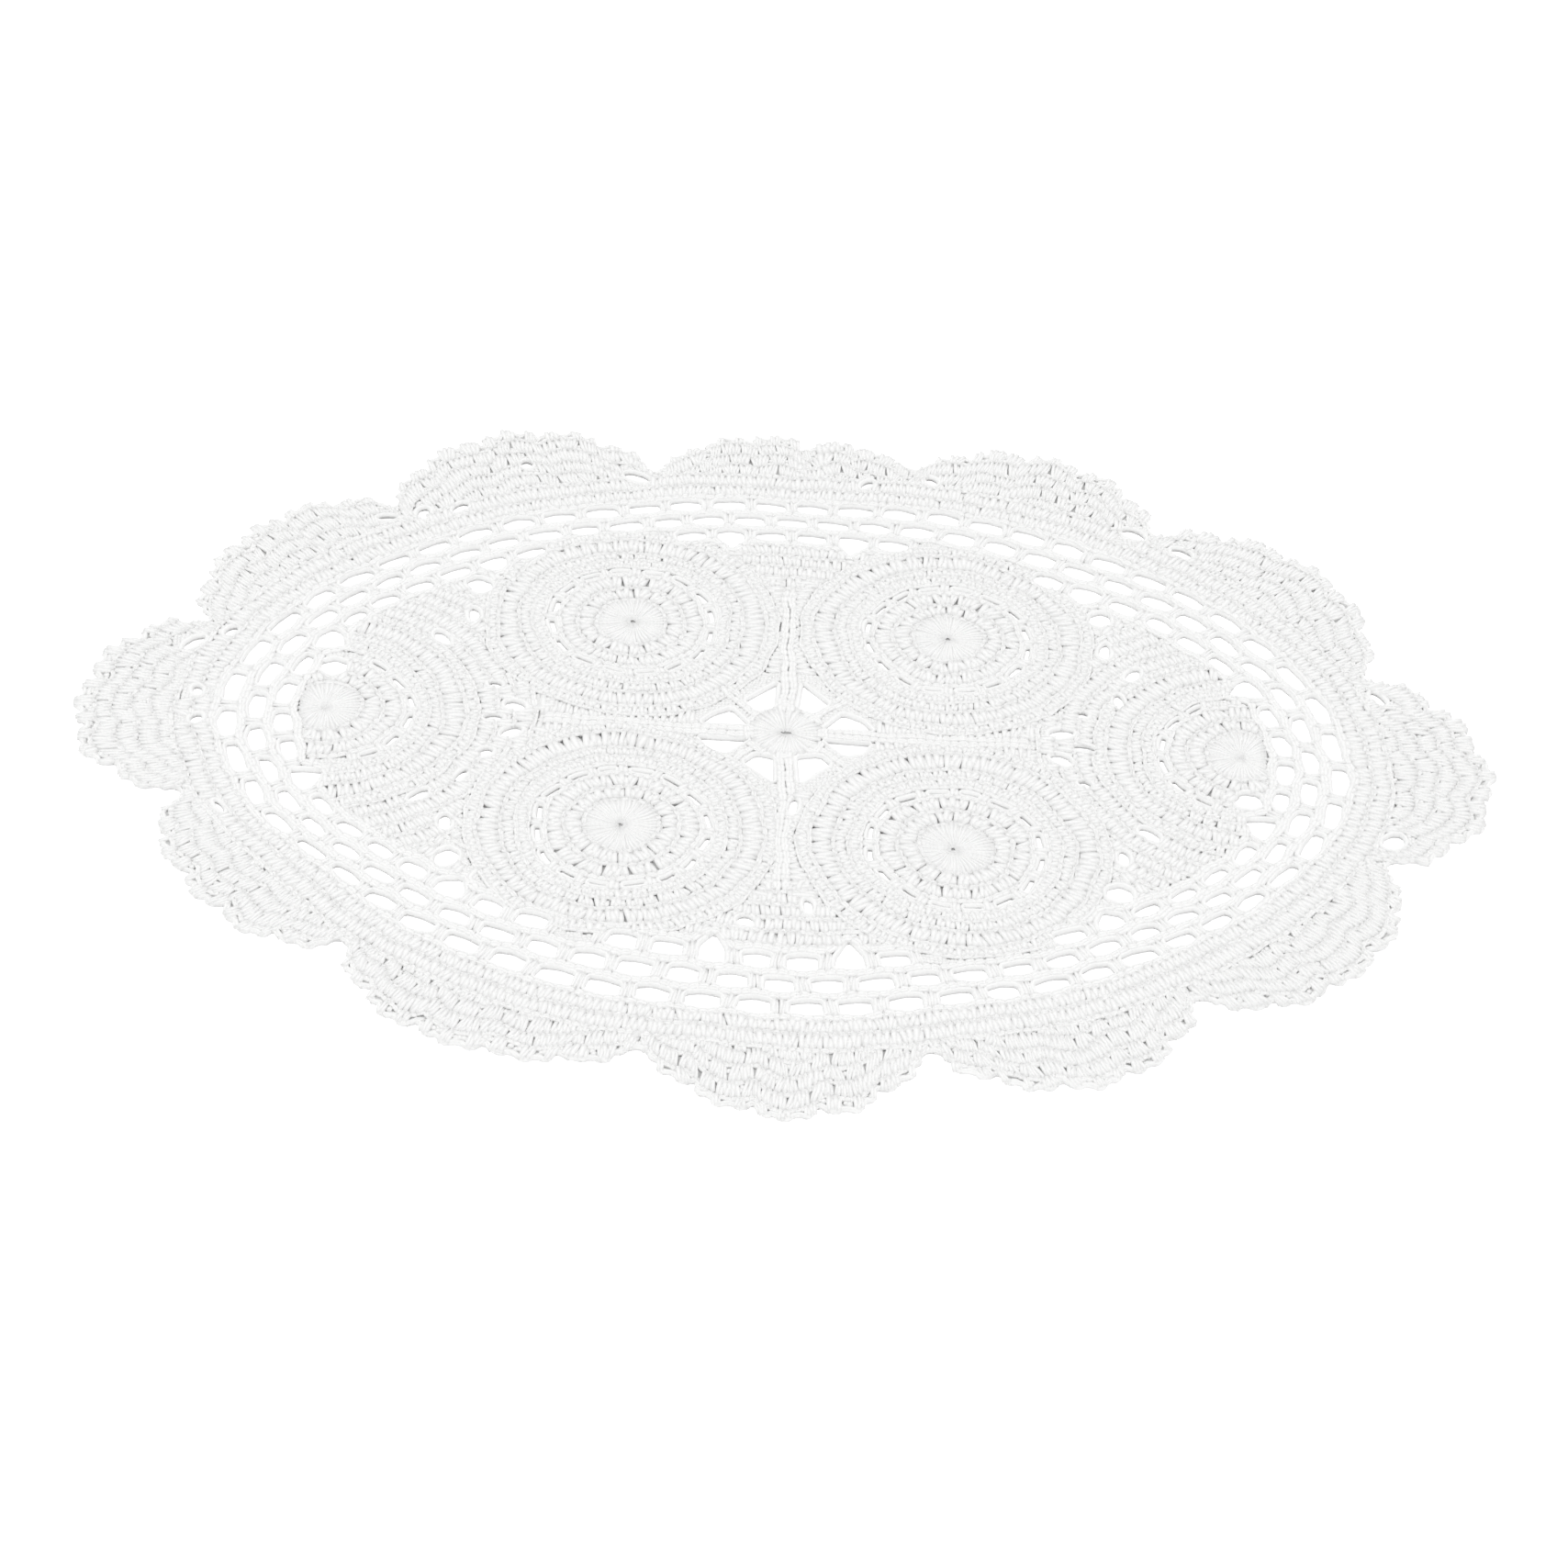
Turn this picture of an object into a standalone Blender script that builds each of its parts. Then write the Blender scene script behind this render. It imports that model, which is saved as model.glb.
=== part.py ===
"""An oval lace doily in white cotton crochet, lying flat: one piece, about 400 mm long.

Four round rosettes and two half rosettes stand about an eight-armed star.  Three rows of open
net run round them, and twelve fans with small knobs along their rims make the border.  It is
one sheet with its gaps cut through, flat underneath.  The fans at its two ends and at the
middles of its two sides lie on the surface, and the border between them rises a little.

Lengths are in metres.  +X is the long way and +Z is up.  The origin is on the surface that the
doily lies on, under the middle of the box that it fills.

Two ways of saying where a thing is are used.  "Flat" is x, y from the middle of the star.
"Rim" is place, out: place is the way round the core oval in twelfths, from the right tip
anticlockwise, and out is how far a point lies outside that oval, square to it.
"""

import math

import bpy
import numpy as np
from mathutils import Vector
from mathutils.geometry import delaunay_2d_cdt

MM = 0.001

# Cloth thicknesses
SHEET = 1.9 * MM  # at the edges of the gaps and of the border
RAISED = 2.7 * MM  # on the dense rings of a rosette and down the middle of a petal
HOLLOW = 1.7 * MM  # in the grooves between the rings and between the petals
LEAST_ROOM = 1.2 * MM  # between a raised or sunk point and the nearest gap

# The core oval, which the rosettes fill
CORE_LENGTH = 276 * MM
CORE_WIDTH = 176 * MM

# Rosettes
ROSETTES = (
    # name         x            y
    ("upper right", 46.5 * MM, 46.0 * MM),
    ("upper left", -46.0 * MM, 46.5 * MM),
    ("lower left", -44.5 * MM, -43.5 * MM),
    ("lower right", 47.0 * MM, -45.0 * MM),
)
HALF_ROSETTE_X = 130 * MM
ROSETTE_EDGE = 43.5 * MM
SPOKES = 16
SLOT_RADIUS = 23.6 * MM
SLOT_WIDTH = 2.6 * MM
SLOT_SHARE = 0.72  # of the way from one spoke to the next

# The rings of a rosette: radius, points in the ring, thickness there
ROSETTE_RINGS = (
    (9.5 * MM, 8, RAISED),
    (13.5 * MM, 8, HOLLOW),
    (19.0 * MM, 8, RAISED),
    (28.0 * MM, 16, RAISED),
    (34.5 * MM, 16, HOLLOW),
    (41.0 * MM, 16, RAISED),
)

# The net
LOOPS = 60
NET_ROWS = 3
CHAIN_WIDTH = 2.3 * MM
POST_WIDTH = 2.9 * MM
CHAIN_DIP = 0.9 * MM  # how far a post draws the chain that it stands on or hangs from

# Loops of the first row that reach into the core, by their number from the tip of each quarter
DEEP_LOOPS = {2: 4.5 * MM, 7: 2.5 * MM, 13: 5.0 * MM}
LOOPS_IN_QUARTER = LOOPS // 4

# The border
PLACES = 12
PETALS = 5
KNOBS_IN_PETAL = 3
KNOB_HEIGHT = 1.8 * MM
PETAL_GAP = 1.7 * MM  # how much deeper still the border is cut between two petals
PETAL_ROUND = 3.0 * MM  # how far a petal's edge falls back from its tip to its sides
FAN_FOOT = 9.0 * MM  # from the net to where the petals begin
PETAL_SPREAD = 0.62  # how wide apart the petals begin, as a share of how wide apart they end
PETAL_WAYS = (0.25, 0.72)  # shares of the way along a petal with a raised or sunk point

# Each scallop, from the right tip anticlockwise: where the notch before it lies and how far
# out, how far out the fan reaches, how pointed it is (0.5 is round), how far out the net ends
# there, and how high the rim is off the surface; the four at 0 lie on it
SCALLOPS = (
    # name           notch_place  notch_out  reach   pointed  net_out     lift
    ("right tip", -0.45, 38 * MM, 63.5 * MM, 0.80, 22.5 * MM, 0.0 * MM),
    ("upper right", 0.40, 38 * MM, 59 * MM, 0.70, 22.5 * MM, 2.5 * MM),
    ("top right", 1.42, 40 * MM, 61 * MM, 0.70, 25.5 * MM, 3.0 * MM),
    ("top", 2.48, 43 * MM, 57 * MM, 1.00, 22.5 * MM, 0.0 * MM),
    ("top left", 3.62, 36 * MM, 62 * MM, 0.60, 21.5 * MM, 2.5 * MM),
    ("upper left", 4.72, 40 * MM, 55 * MM, 0.60, 20.0 * MM, 2.0 * MM),
    ("left tip", 5.62, 37 * MM, 63 * MM, 0.65, 23.0 * MM, 0.0 * MM),
    ("lower left", 6.42, 36 * MM, 53 * MM, 0.60, 19.0 * MM, 2.0 * MM),
    ("bottom left", 7.33, 36 * MM, 58 * MM, 0.65, 26.5 * MM, 2.5 * MM),
    ("bottom", 8.50, 42 * MM, 62 * MM, 0.75, 26.0 * MM, 0.0 * MM),
    ("bottom right", 9.55, 39 * MM, 60 * MM, 0.75, 23.5 * MM, 2.5 * MM),
    ("lower right", 10.58, 38 * MM, 56 * MM, 0.70, 19.5 * MM, 2.0 * MM),
)
NAME, NOTCH_PLACE, NOTCH_OUT, REACH, POINTED, NET_OUT, LIFT = range(7)
AT_MIDDLE = 0.04  # places to each side of a scallop's middle where the rim keeps its height

# Where a scallop's edge dips between two petals that stand apart: the share of the way from its
# first notch to the next, how deep the dip is, and how wide, as a share too
DIPS = (
    # scallop  share  depth      width
    ("top", 0.37, 6.5 * MM, 0.05),
)

# How the sheet's triangles are found: kept inside the outline and outside the gaps, and how
# near two corners may be
INSIDE_WITH_HOLES = 2
NEAREST = 0.0001 * MM

# How finely the core oval and the scallops' edges are measured
FINE_STEPS = 4001
EDGE_STEPS = 241

# The gaps round the star that one quarter has, in flat places; the other three mirror them
STAR_GAPS = (
    # beside the long arm
    ((10.0 * MM, 2.7 * MM), (25.0 * MM, 2.7 * MM), (21.5 * MM, 7.5 * MM), (16.0 * MM, 10.0 * MM)),
    # beside the short arm
    ((2.9 * MM, 10.5 * MM), (8.5 * MM, 9.0 * MM), (12.5 * MM, 13.5 * MM), (3.2 * MM, 22.0 * MM)),
)

# The other gaps of the middle: where their middle is, how long and wide they are, and how many
# degrees their length is turned from +X
GAPS_IN_QUARTERS = (
    # name                  x          y          length      width     turned
    ("beside the arm", 77.5 * MM, 5.6 * MM, 8.0 * MM, 4.4 * MM, 25),
    ("in the fan", 84.0 * MM, 14.8 * MM, 5.4 * MM, 3.2 * MM, 28),
    ("by the half rosette", 100.5 * MM, 35.0 * MM, 8.2 * MM, 3.8 * MM, 50),
    ("by the rosette", 92.8 * MM, 45.5 * MM, 8.0 * MM, 3.6 * MM, 85),
    ("at the corner", 91.5 * MM, 59.9 * MM, 9.2 * MM, 6.6 * MM, 30),
)
GAPS_IN_ONE_PLACE = (
    # name                      x           y            length      width     turned
    ("right end of the arm", 84.0 * MM, 0.0, 8.0 * MM, 2.8 * MM, 0),
    ("left end of the arm", -83.0 * MM, 0.0, 7.5 * MM, 3.0 * MM, 0),
    ("upper right fan", 95.2 * MM, 22.5 * MM, 7.8 * MM, 3.4 * MM, 96),
    ("lower left fan", -89.5 * MM, -25.2 * MM, 8.0 * MM, 2.6 * MM, 60),
    ("below the star", 1.9 * MM, -31.3 * MM, 7.6 * MM, 3.2 * MM, 88),
    ("bottom fan, right", 6.8 * MM, -71.1 * MM, 6.5 * MM, 3.2 * MM, 106),
    ("bottom fan, left", -10.0 * MM, -78.0 * MM, 5.2 * MM, 4.6 * MM, 116),
    ("right half rosette", 129.2 * MM, -19.0 * MM, 9.5 * MM, 8.0 * MM, 105),
    ("left half rosette", -130.0 * MM, 18.5 * MM, 9.0 * MM, 8.0 * MM, 80),
)

# The gaps of the border, in rim places; their length is turned from the way along the rim
GAPS_IN_BORDER = (
    # name                  place  out        length      width     turned
    ("right notch", 0.30, 38.0 * MM, 8.0 * MM, 2.8 * MM, 9),
    ("upper right, one", 1.28, 37.0 * MM, 8.0 * MM, 4.4 * MM, -7),
    ("upper right, two", 1.50, 36.5 * MM, 9.6 * MM, 4.2 * MM, -5),
    ("top right", 2.39, 38.5 * MM, 5.0 * MM, 3.2 * MM, -26),
    ("top", 2.67, 33.0 * MM, 6.4 * MM, 2.6 * MM, 54),
    ("top left notch", 3.70, 33.5 * MM, 10.0 * MM, 3.7 * MM, -31),
    ("top left fan", 4.14, 45.0 * MM, 4.7 * MM, 4.2 * MM, 53),
    ("upper left, one", 4.50, 31.0 * MM, 7.0 * MM, 3.8 * MM, 26),
    ("upper left, two", 4.65, 33.0 * MM, 7.2 * MM, 3.4 * MM, 44),
    ("upper left, three", 4.79, 36.0 * MM, 8.0 * MM, 2.6 * MM, -17),
    ("left, under the notch", 5.64, 29.5 * MM, 6.7 * MM, 2.9 * MM, -12),
    ("left notch", 5.74, 36.5 * MM, 10.0 * MM, 3.2 * MM, -20),
    ("left tip, one", 5.95, 29.5 * MM, 4.8 * MM, 3.2 * MM, 9),
    ("left tip, two", 6.08, 27.5 * MM, 5.4 * MM, 3.4 * MM, -40),
    ("lower left", 6.53, 28.0 * MM, 7.0 * MM, 2.4 * MM, -2),
    ("right tip notch", 11.66, 36.5 * MM, 9.6 * MM, 5.4 * MM, -23),
)


def core_oval():
    """The core oval's angle at even steps of its arc length, as (share of the way, angle)."""
    angle = np.linspace(0.0, 2.0 * math.pi, FINE_STEPS)
    x = CORE_LENGTH / 2 * np.cos(angle)
    y = CORE_WIDTH / 2 * np.sin(angle)
    steps = np.hypot(np.diff(x), np.diff(y))
    along = np.concatenate([[0.0], np.cumsum(steps)])
    return along / along[-1], angle


OVAL_SHARE, OVAL_ANGLE = core_oval()


def oval_point(place):
    """(point, outward direction) of the core oval at a place round it."""
    angle = np.interp(place / PLACES % 1.0, OVAL_SHARE, OVAL_ANGLE)
    half_length, half_width = CORE_LENGTH / 2, CORE_WIDTH / 2
    outward = np.array([math.cos(angle) / half_length, math.sin(angle) / half_width])
    outward /= np.linalg.norm(outward)
    return np.array([half_length * math.cos(angle), half_width * math.sin(angle)]), outward


def rim_point(place, out):
    """The flat place of a point that is given by its rim place."""
    point, outward = oval_point(place)
    return point + outward * out


def scallop_middles():
    """The places of the scallops' middles, halfway between the notches on their two sides."""
    notches = [row[NOTCH_PLACE] for row in SCALLOPS] + [SCALLOPS[0][NOTCH_PLACE] + PLACES]
    return np.array([(a + b) / 2 for a, b in zip(notches[:-1], notches[1:])])


def around(place, column, power=1, level=0.0):
    """A column of the scallops' table at any place, eased from each scallop's middle to the next.

    The column's values, raised to the power, are what is eased.  They stay level for so many
    places on both sides of each middle.
    """
    middles = scallop_middles()
    values = [row[column] ** power for row in SCALLOPS]
    place = (place - middles[0]) % PLACES + middles[0]
    middles = np.append(middles, middles[0] + PLACES)
    values = values + values[:1]
    before = max(0, int(np.searchsorted(middles, place, side="right")) - 1)
    start, end = middles[before] + level, middles[before + 1] - level
    share = min(max((place - start) / (end - start), 0.0), 1.0)
    eased = (1 - math.cos(math.pi * share)) / 2
    return (values[before] + (values[before + 1] - values[before]) * eased) ** (1 / power)


def lift_at(place, out):
    """How far the cloth is off the surface at a rim place.

    It grows as the square of the way out to the rim.  The squares of the rim's heights are
    eased round it, so the rim rises at once beside a scallop that lies on the surface.
    """
    share = max(out, 0.0) / around(place, REACH)
    return around(place, LIFT, power=2, level=AT_MIDDLE) * share * share


def rim_corner(place, out, thickness=SHEET):
    """A corner of the sheet at a rim place: x, y, height of its underside and of its top."""
    x, y = rim_point(place, out)
    lift = lift_at(place, out)
    return (x, y, lift, lift + thickness)


def flat_corner(x, y, thickness=SHEET):
    """A corner of the sheet in its flat middle, where the underside lies on the surface."""
    return (x, y, 0.0, thickness)


def mirrored(corners, flip_x, flip_y):
    """The same loop in another quarter of the doily."""
    return [(x * flip_x, y * flip_y, low, high) for x, y, low, high in corners]


def anticlockwise(corners):
    """The same loop, running anticlockwise as seen from above."""
    twice_area = 0.0
    for (ax, ay, *_), (bx, by, *_) in zip(corners, corners[1:] + corners[:1]):
        twice_area += ax * by - bx * ay
    return corners if twice_area > 0 else corners[::-1]


def net_out(place, row):
    """How far out the chain under a row of the net lies; row NET_ROWS is the net's outer edge."""
    return around(place, NET_OUT) * row / NET_ROWS


def net_cell(row, loop):
    """One gap of the net: six corners, the chains drawn in and out by the posts."""
    loops_to_places = PLACES / LOOPS
    start = (loop + 0.5 * (row % 2)) * loops_to_places
    middle, end = start + 0.5 * loops_to_places, start + loops_to_places
    pitch = np.linalg.norm(rim_point(end, net_out(end, row)) - rim_point(start, net_out(start, row)))
    post = POST_WIDTH / 2 / pitch * loops_to_places
    half_chain = CHAIN_WIDTH / 2
    left, right = start + post, end - post
    lower_side = net_out(middle, row) + half_chain + CHAIN_DIP / 2
    lower_middle = lower_side - CHAIN_DIP
    upper_side = net_out(middle, row + 1) - half_chain - CHAIN_DIP / 2
    upper_middle = upper_side + CHAIN_DIP
    if row == 0:
        in_quarter = loop % LOOPS_IN_QUARTER
        if (loop // LOOPS_IN_QUARTER) % 2:
            in_quarter = LOOPS_IN_QUARTER - 1 - in_quarter
        lower_middle -= DEEP_LOOPS.get(in_quarter, 0.0)
    return [
        rim_corner(left, lower_side),
        rim_corner(middle, lower_middle),
        rim_corner(right, lower_side),
        rim_corner(right, upper_side),
        rim_corner(middle, upper_middle),
        rim_corner(left, upper_side),
    ]


def under_rosette(loop):
    """Whether the rim of a rosette fills this loop of the first row."""
    place = (loop + 0.5) * PLACES / LOOPS
    middle = rim_point(place, net_out(place, 1) / 2)
    return any(math.hypot(middle[0] - x, middle[1] - y) < ROSETTE_EDGE for _, x, y in ROSETTES)


def net():
    """Every gap of the net, row by row."""
    cells = [(row, loop) for row in range(NET_ROWS) for loop in range(LOOPS)]
    return [net_cell(row, loop) for row, loop in cells if row > 0 or not under_rosette(loop)]


def slot(x, y, spoke):
    """The curved slot between two spokes of the rosette at x, y."""
    step = 2 * math.pi / SPOKES
    middle = (spoke + 0.5) * step
    reach = SLOT_SHARE * step / 2
    inner, outer = SLOT_RADIUS - SLOT_WIDTH / 2, SLOT_RADIUS + SLOT_WIDTH / 2
    inner_side = [(inner, middle + turn) for turn in (reach, 0.0, -reach)]
    outer_side = [(outer, middle + turn) for turn in (-reach, 0.0, reach)]
    return [
        flat_corner(x + radius * math.cos(angle), y + radius * math.sin(angle))
        for radius, angle in inner_side + outer_side
    ]


def rosette_slots():
    """The ring of slots in each rosette; the half rosettes have the ones on their round side."""
    whole = [slot(x, y, spoke) for _, x, y in ROSETTES for spoke in range(SPOKES)]
    half_turn = SPOKES // 2
    quarter_turn = SPOKES // 4
    spokes = range(1, half_turn - 1)
    right = [slot(HALF_ROSETTE_X, 0.0, quarter_turn + spoke) for spoke in spokes]
    left = [slot(-HALF_ROSETTE_X, 0.0, spoke - quarter_turn) for spoke in spokes]
    return whole + right + left


def gap(middle, along, length, width, lift=0.0):
    """A six-cornered gap round a middle, its length lying along a direction."""
    across = np.array([-along[1], along[0]])
    shape = ((-0.5, 0.0), (-0.25, -0.5), (0.25, -0.5), (0.5, 0.0), (0.25, 0.5), (-0.25, 0.5))
    corners = [middle + along * length * a + across * width * b for a, b in shape]
    return [(x, y, lift, lift + SHEET) for x, y in corners]


def direction(degrees):
    """The unit direction that is turned by so many degrees from +X."""
    return np.array([math.cos(math.radians(degrees)), math.sin(math.radians(degrees))])


def middle_gaps():
    """The gaps round the star and between the rosettes."""
    quarter = [[flat_corner(*corner) for corner in loop] for loop in STAR_GAPS]
    single = []
    for rows, loops in ((GAPS_IN_QUARTERS, quarter), (GAPS_IN_ONE_PLACE, single)):
        for _, x, y, length, width, turned in rows:
            loops.append(gap(np.array([x, y]), direction(turned), length, width))
    flips = ((1, 1), (-1, 1), (-1, -1), (1, -1))
    return [mirrored(loop, sx, sy) for sx, sy in flips for loop in quarter] + single


def border_gaps():
    """The gaps at the feet of the fans and beside the notches."""
    loops = []
    for _, place, out, length, width, turned in GAPS_IN_BORDER:
        point, outward = oval_point(place)
        straight_up = 90
        angle = math.degrees(math.atan2(outward[1], outward[0])) + straight_up + turned
        middle = point + outward * out
        loops.append(gap(middle, direction(angle), length, width, lift_at(place, out)))
    return loops


def scallop_ends(number):
    """(start place, start out, end place, end out) of a scallop, from notch to notch."""
    row = SCALLOPS[number]
    after = SCALLOPS[(number + 1) % len(SCALLOPS)]
    end_place = after[NOTCH_PLACE] + (PLACES if number == len(SCALLOPS) - 1 else 0)
    return row[NOTCH_PLACE], row[NOTCH_OUT], end_place, after[NOTCH_OUT]


def scallop_rim(number, share):
    """The rim place of a scallop's smooth edge, an arch from notch to notch."""
    start_place, start_out, end_place, end_out = scallop_ends(number)
    side = 2 * share - 1
    foot = start_out + (end_out - start_out) * share
    rise = max(0.0, 1 - side**2) ** SCALLOPS[number][POINTED]
    place = start_place + (end_place - start_place) * share
    return place, foot + (SCALLOPS[number][REACH] - foot) * rise


def dip(number, share):
    """How far a scallop's edge is set back there by the dips in it."""
    dips = [row for row in DIPS if row[0] == SCALLOPS[number][NAME]]
    return sum(depth * math.exp(-(((share - at) / width) ** 2)) for _, at, depth, width in dips)


def scallop_shares(number, count):
    """Shares of a scallop at even steps of its edge's length, its two ends among them."""
    fine = np.linspace(0.0, 1.0, EDGE_STEPS)
    edge = np.array([rim_point(*scallop_rim(number, share)) for share in fine])
    along = np.concatenate([[0.0], np.cumsum(np.linalg.norm(np.diff(edge, axis=0), axis=1))])
    return np.interp(np.linspace(0.0, along[-1], count), along, fine)


def scallop_edge(number):
    """One scallop's outline: a valley and two shoulders for each knob, deeper between petals."""
    knobs = PETALS * KNOBS_IN_PETAL
    marks = scallop_shares(number, 3 * knobs + 1)
    start_place, start_out, end_place, _ = scallop_ends(number)
    foot_place = (start_place + end_place) / 2
    foot_out = start_out - FAN_FOOT
    foot = rim_point(foot_place, foot_out)
    corners = []
    for step, share in enumerate(marks[:-1]):
        place, out = scallop_rim(number, share)
        point = rim_point(place, out)
        if step == 0:
            corners.append(rim_corner(place, out))
            continue
        in_petal = step % (3 * KNOBS_IN_PETAL)
        from_tip = in_petal / (1.5 * KNOBS_IN_PETAL) - 1
        depth = PETAL_ROUND * from_tip**2 + dip(number, share)
        if step % 3 == 0:
            depth += KNOB_HEIGHT if in_petal else PETAL_GAP
        inward = foot - point
        point = point + inward / np.linalg.norm(inward) * depth
        lift = lift_at(place, out)
        corners.append((point[0], point[1], lift, lift + SHEET))
    return corners


def outline():
    """The doily's edge, all twelve scallops, anticlockwise."""
    return [corner for number in range(len(SCALLOPS)) for corner in scallop_edge(number)]


def rosette_relief():
    """Raised and sunk points that give each rosette its rings."""
    points = []
    for _, x, y in ROSETTES:
        points.append(flat_corner(x, y, SHEET))
        for radius, count, thickness in ROSETTE_RINGS:
            for step in range(count):
                angle = 2 * math.pi * step / count
                points.append(
                    flat_corner(x + radius * math.cos(angle), y + radius * math.sin(angle), thickness)
                )
    for side in (1, -1):
        for radius, count, thickness in ROSETTE_RINGS:
            for step in range(count // 2 + 1):
                angle = math.pi / 2 + 2 * math.pi * step / count
                x = side * (HALF_ROSETTE_X + radius * math.cos(angle))
                y = radius * math.sin(angle)
                if inside_core(x, y):
                    points.append(flat_corner(x, y, thickness))
    return points


def inside_core(x, y):
    """Whether a flat place lies well inside the core oval."""
    margin = 5 * MM
    return (x / (CORE_LENGTH / 2 - margin)) ** 2 + (y / (CORE_WIDTH / 2 - margin)) ** 2 < 1


def fan_relief():
    """Points down the middle of each petal, raised, and between petals, sunk."""
    points = []
    for number in range(len(SCALLOPS)):
        start_place, _, end_place, _ = scallop_ends(number)
        marks = scallop_shares(number, 2 * PETALS + 1)
        foot_place = (start_place + end_place) / 2
        foot_out = net_out(foot_place, NET_ROWS) + FAN_FOOT
        for step, share in enumerate(marks[1:-1], 1):
            tip_place, tip_out = scallop_rim(number, share)
            root_place = foot_place + (tip_place - foot_place) * PETAL_SPREAD
            raised = step % 2 == 1
            thickness = RAISED if raised else HOLLOW
            for way in PETAL_WAYS if raised else PETAL_WAYS[1:]:
                place = root_place + (tip_place - root_place) * way
                out = foot_out + (tip_out - foot_out) * way
                points.append(rim_corner(place, out, thickness))
    return points


def room_round(point, loops):
    """How far a point is from the nearest edge of any loop, or 0 if it lies in a gap."""
    nearest = math.inf
    for number, loop in enumerate(loops):
        start = np.array([corner[:2] for corner in loop])
        edge = np.roll(start, -1, axis=0) - start
        offset = np.array(point[:2]) - start
        share = np.clip((offset * edge).sum(axis=1) / (edge * edge).sum(axis=1), 0.0, 1.0)
        nearest = min(nearest, np.linalg.norm(offset - edge * share[:, None], axis=1).min())
        crossed = (start[:, 1] > point[1]) != (start[:, 1] + edge[:, 1] > point[1])
        rise = np.where(crossed, edge[:, 1], 1.0)
        crossing = start[:, 0] + edge[:, 0] * (point[1] - start[:, 1]) / rise
        inside = np.count_nonzero(crossed & (crossing > point[0])) % 2 == 1
        if inside != (number == 0):
            return 0.0
    return nearest


def triangles(loops, loose):
    """Triangles between the outline, which is the first loop, and the holes, which are the rest.

    The corners are numbered loop by loop and then the loose points.
    """
    places = [Vector(corner[:2]) for loop in loops for corner in loop]
    places += [Vector(corner[:2]) for corner in loose]
    faces = []
    first = 0
    for loop in loops:
        faces.append(list(range(first, first + len(loop))))
        first += len(loop)
    found = delaunay_2d_cdt(places, [], faces, INSIDE_WITH_HOLES, NEAREST)
    out_places, out_faces, source = found[0], found[2], found[3]
    if len(out_places) != len(places):
        raise ValueError(f"{len(out_places) - len(places)} corners were made where loops cross")
    number = [own[0] for own in source]
    turned = []
    for face in out_faces:
        a, b, c = (out_places[corner] for corner in face)
        anticlockwise = (b - a).cross(c - a) > 0
        turned.append([number[corner] for corner in (face if anticlockwise else face[::-1])])
    return turned


def sheet_mesh(name, loops, relief):
    """One closed sheet: a top over every point, an underside and the walls between them."""
    corners = [corner for loop in loops for corner in loop]
    off_surface = [corner for corner in relief if corner[2] > 0]
    top_corners = corners + relief
    under_corners = corners + off_surface
    edge = np.array([corner[:2] for corner in loops[0]])
    middle_x, middle_y = (edge.min(axis=0) + edge.max(axis=0)) / 2
    vertices = [(x - middle_x, y - middle_y, high) for x, y, _, high in top_corners]
    vertices += [(x - middle_x, y - middle_y, low) for x, y, low, _ in under_corners]
    under = len(top_corners)
    faces = triangles(loops, relief)
    below = triangles(loops, off_surface)
    faces += [[under + corner for corner in face[::-1]] for face in below]
    first = 0
    for number, loop in enumerate(loops):
        for step in range(len(loop)):
            here = first + step
            there = first + (step + 1) % len(loop)
            if number > 0:
                here, there = there, here
            faces.append([here, under + here, under + there])
            faces.append([here, under + there, there])
        first += len(loop)
    mesh = bpy.data.meshes.new(name)
    mesh.from_pydata(vertices, [], faces)
    mesh.update()
    return mesh


def cotton():
    """White cotton thread."""
    material = bpy.data.materials.new("white_cotton")
    material.use_nodes = True
    shader = material.node_tree.nodes["Principled BSDF"]
    shader.inputs["Base Color"].default_value = (0.90, 0.90, 0.89, 1.0)
    shader.inputs["Roughness"].default_value = 0.9
    shader.inputs["Metallic"].default_value = 0.0
    return material


def clear_scene():
    """Removes what the scene holds at the start."""
    for item in list(bpy.data.objects):
        bpy.data.objects.remove(item)


def build_doily():
    """The whole doily, one piece."""
    gaps = net() + rosette_slots() + middle_gaps() + border_gaps()
    loops = [anticlockwise(loop) for loop in [outline()] + gaps]
    relief = rosette_relief() + fan_relief()
    relief = [point for point in relief if room_round(point, loops) > LEAST_ROOM]
    mesh = sheet_mesh("doily", loops, relief)
    mesh.materials.append(cotton())
    doily = bpy.data.objects.new("doily", mesh)
    bpy.context.scene.collection.objects.link(doily)
    return doily


clear_scene()
build_doily()
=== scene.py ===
"""The look of the oval lace doily: every stitch of its white cotton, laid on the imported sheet.

Sizes here are in millimetres in the pattern's own frame, whose origin is the middle of the star,
with +X to the right, +Y away from the viewer and +Z up.  to_row turns them into the frame of the
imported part, in metres.  "Rim places" are (place, out): place is the way round the core oval in
twelfths, from the right tip anticlockwise, and out is how far a point lies outside that oval.

Every stitch is one row of seven numbers: its start x, y, z, its end x, y, z and its width.  A row
of "posts" becomes two strands side by side, and so does a row of a "wheel", thin at its foot.  A
row of "loops" becomes the two legs of one chain stitch, and a row of "knots" one short strand.
"""

import math

import bpy
import numpy as np
from mathutils import Matrix


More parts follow.
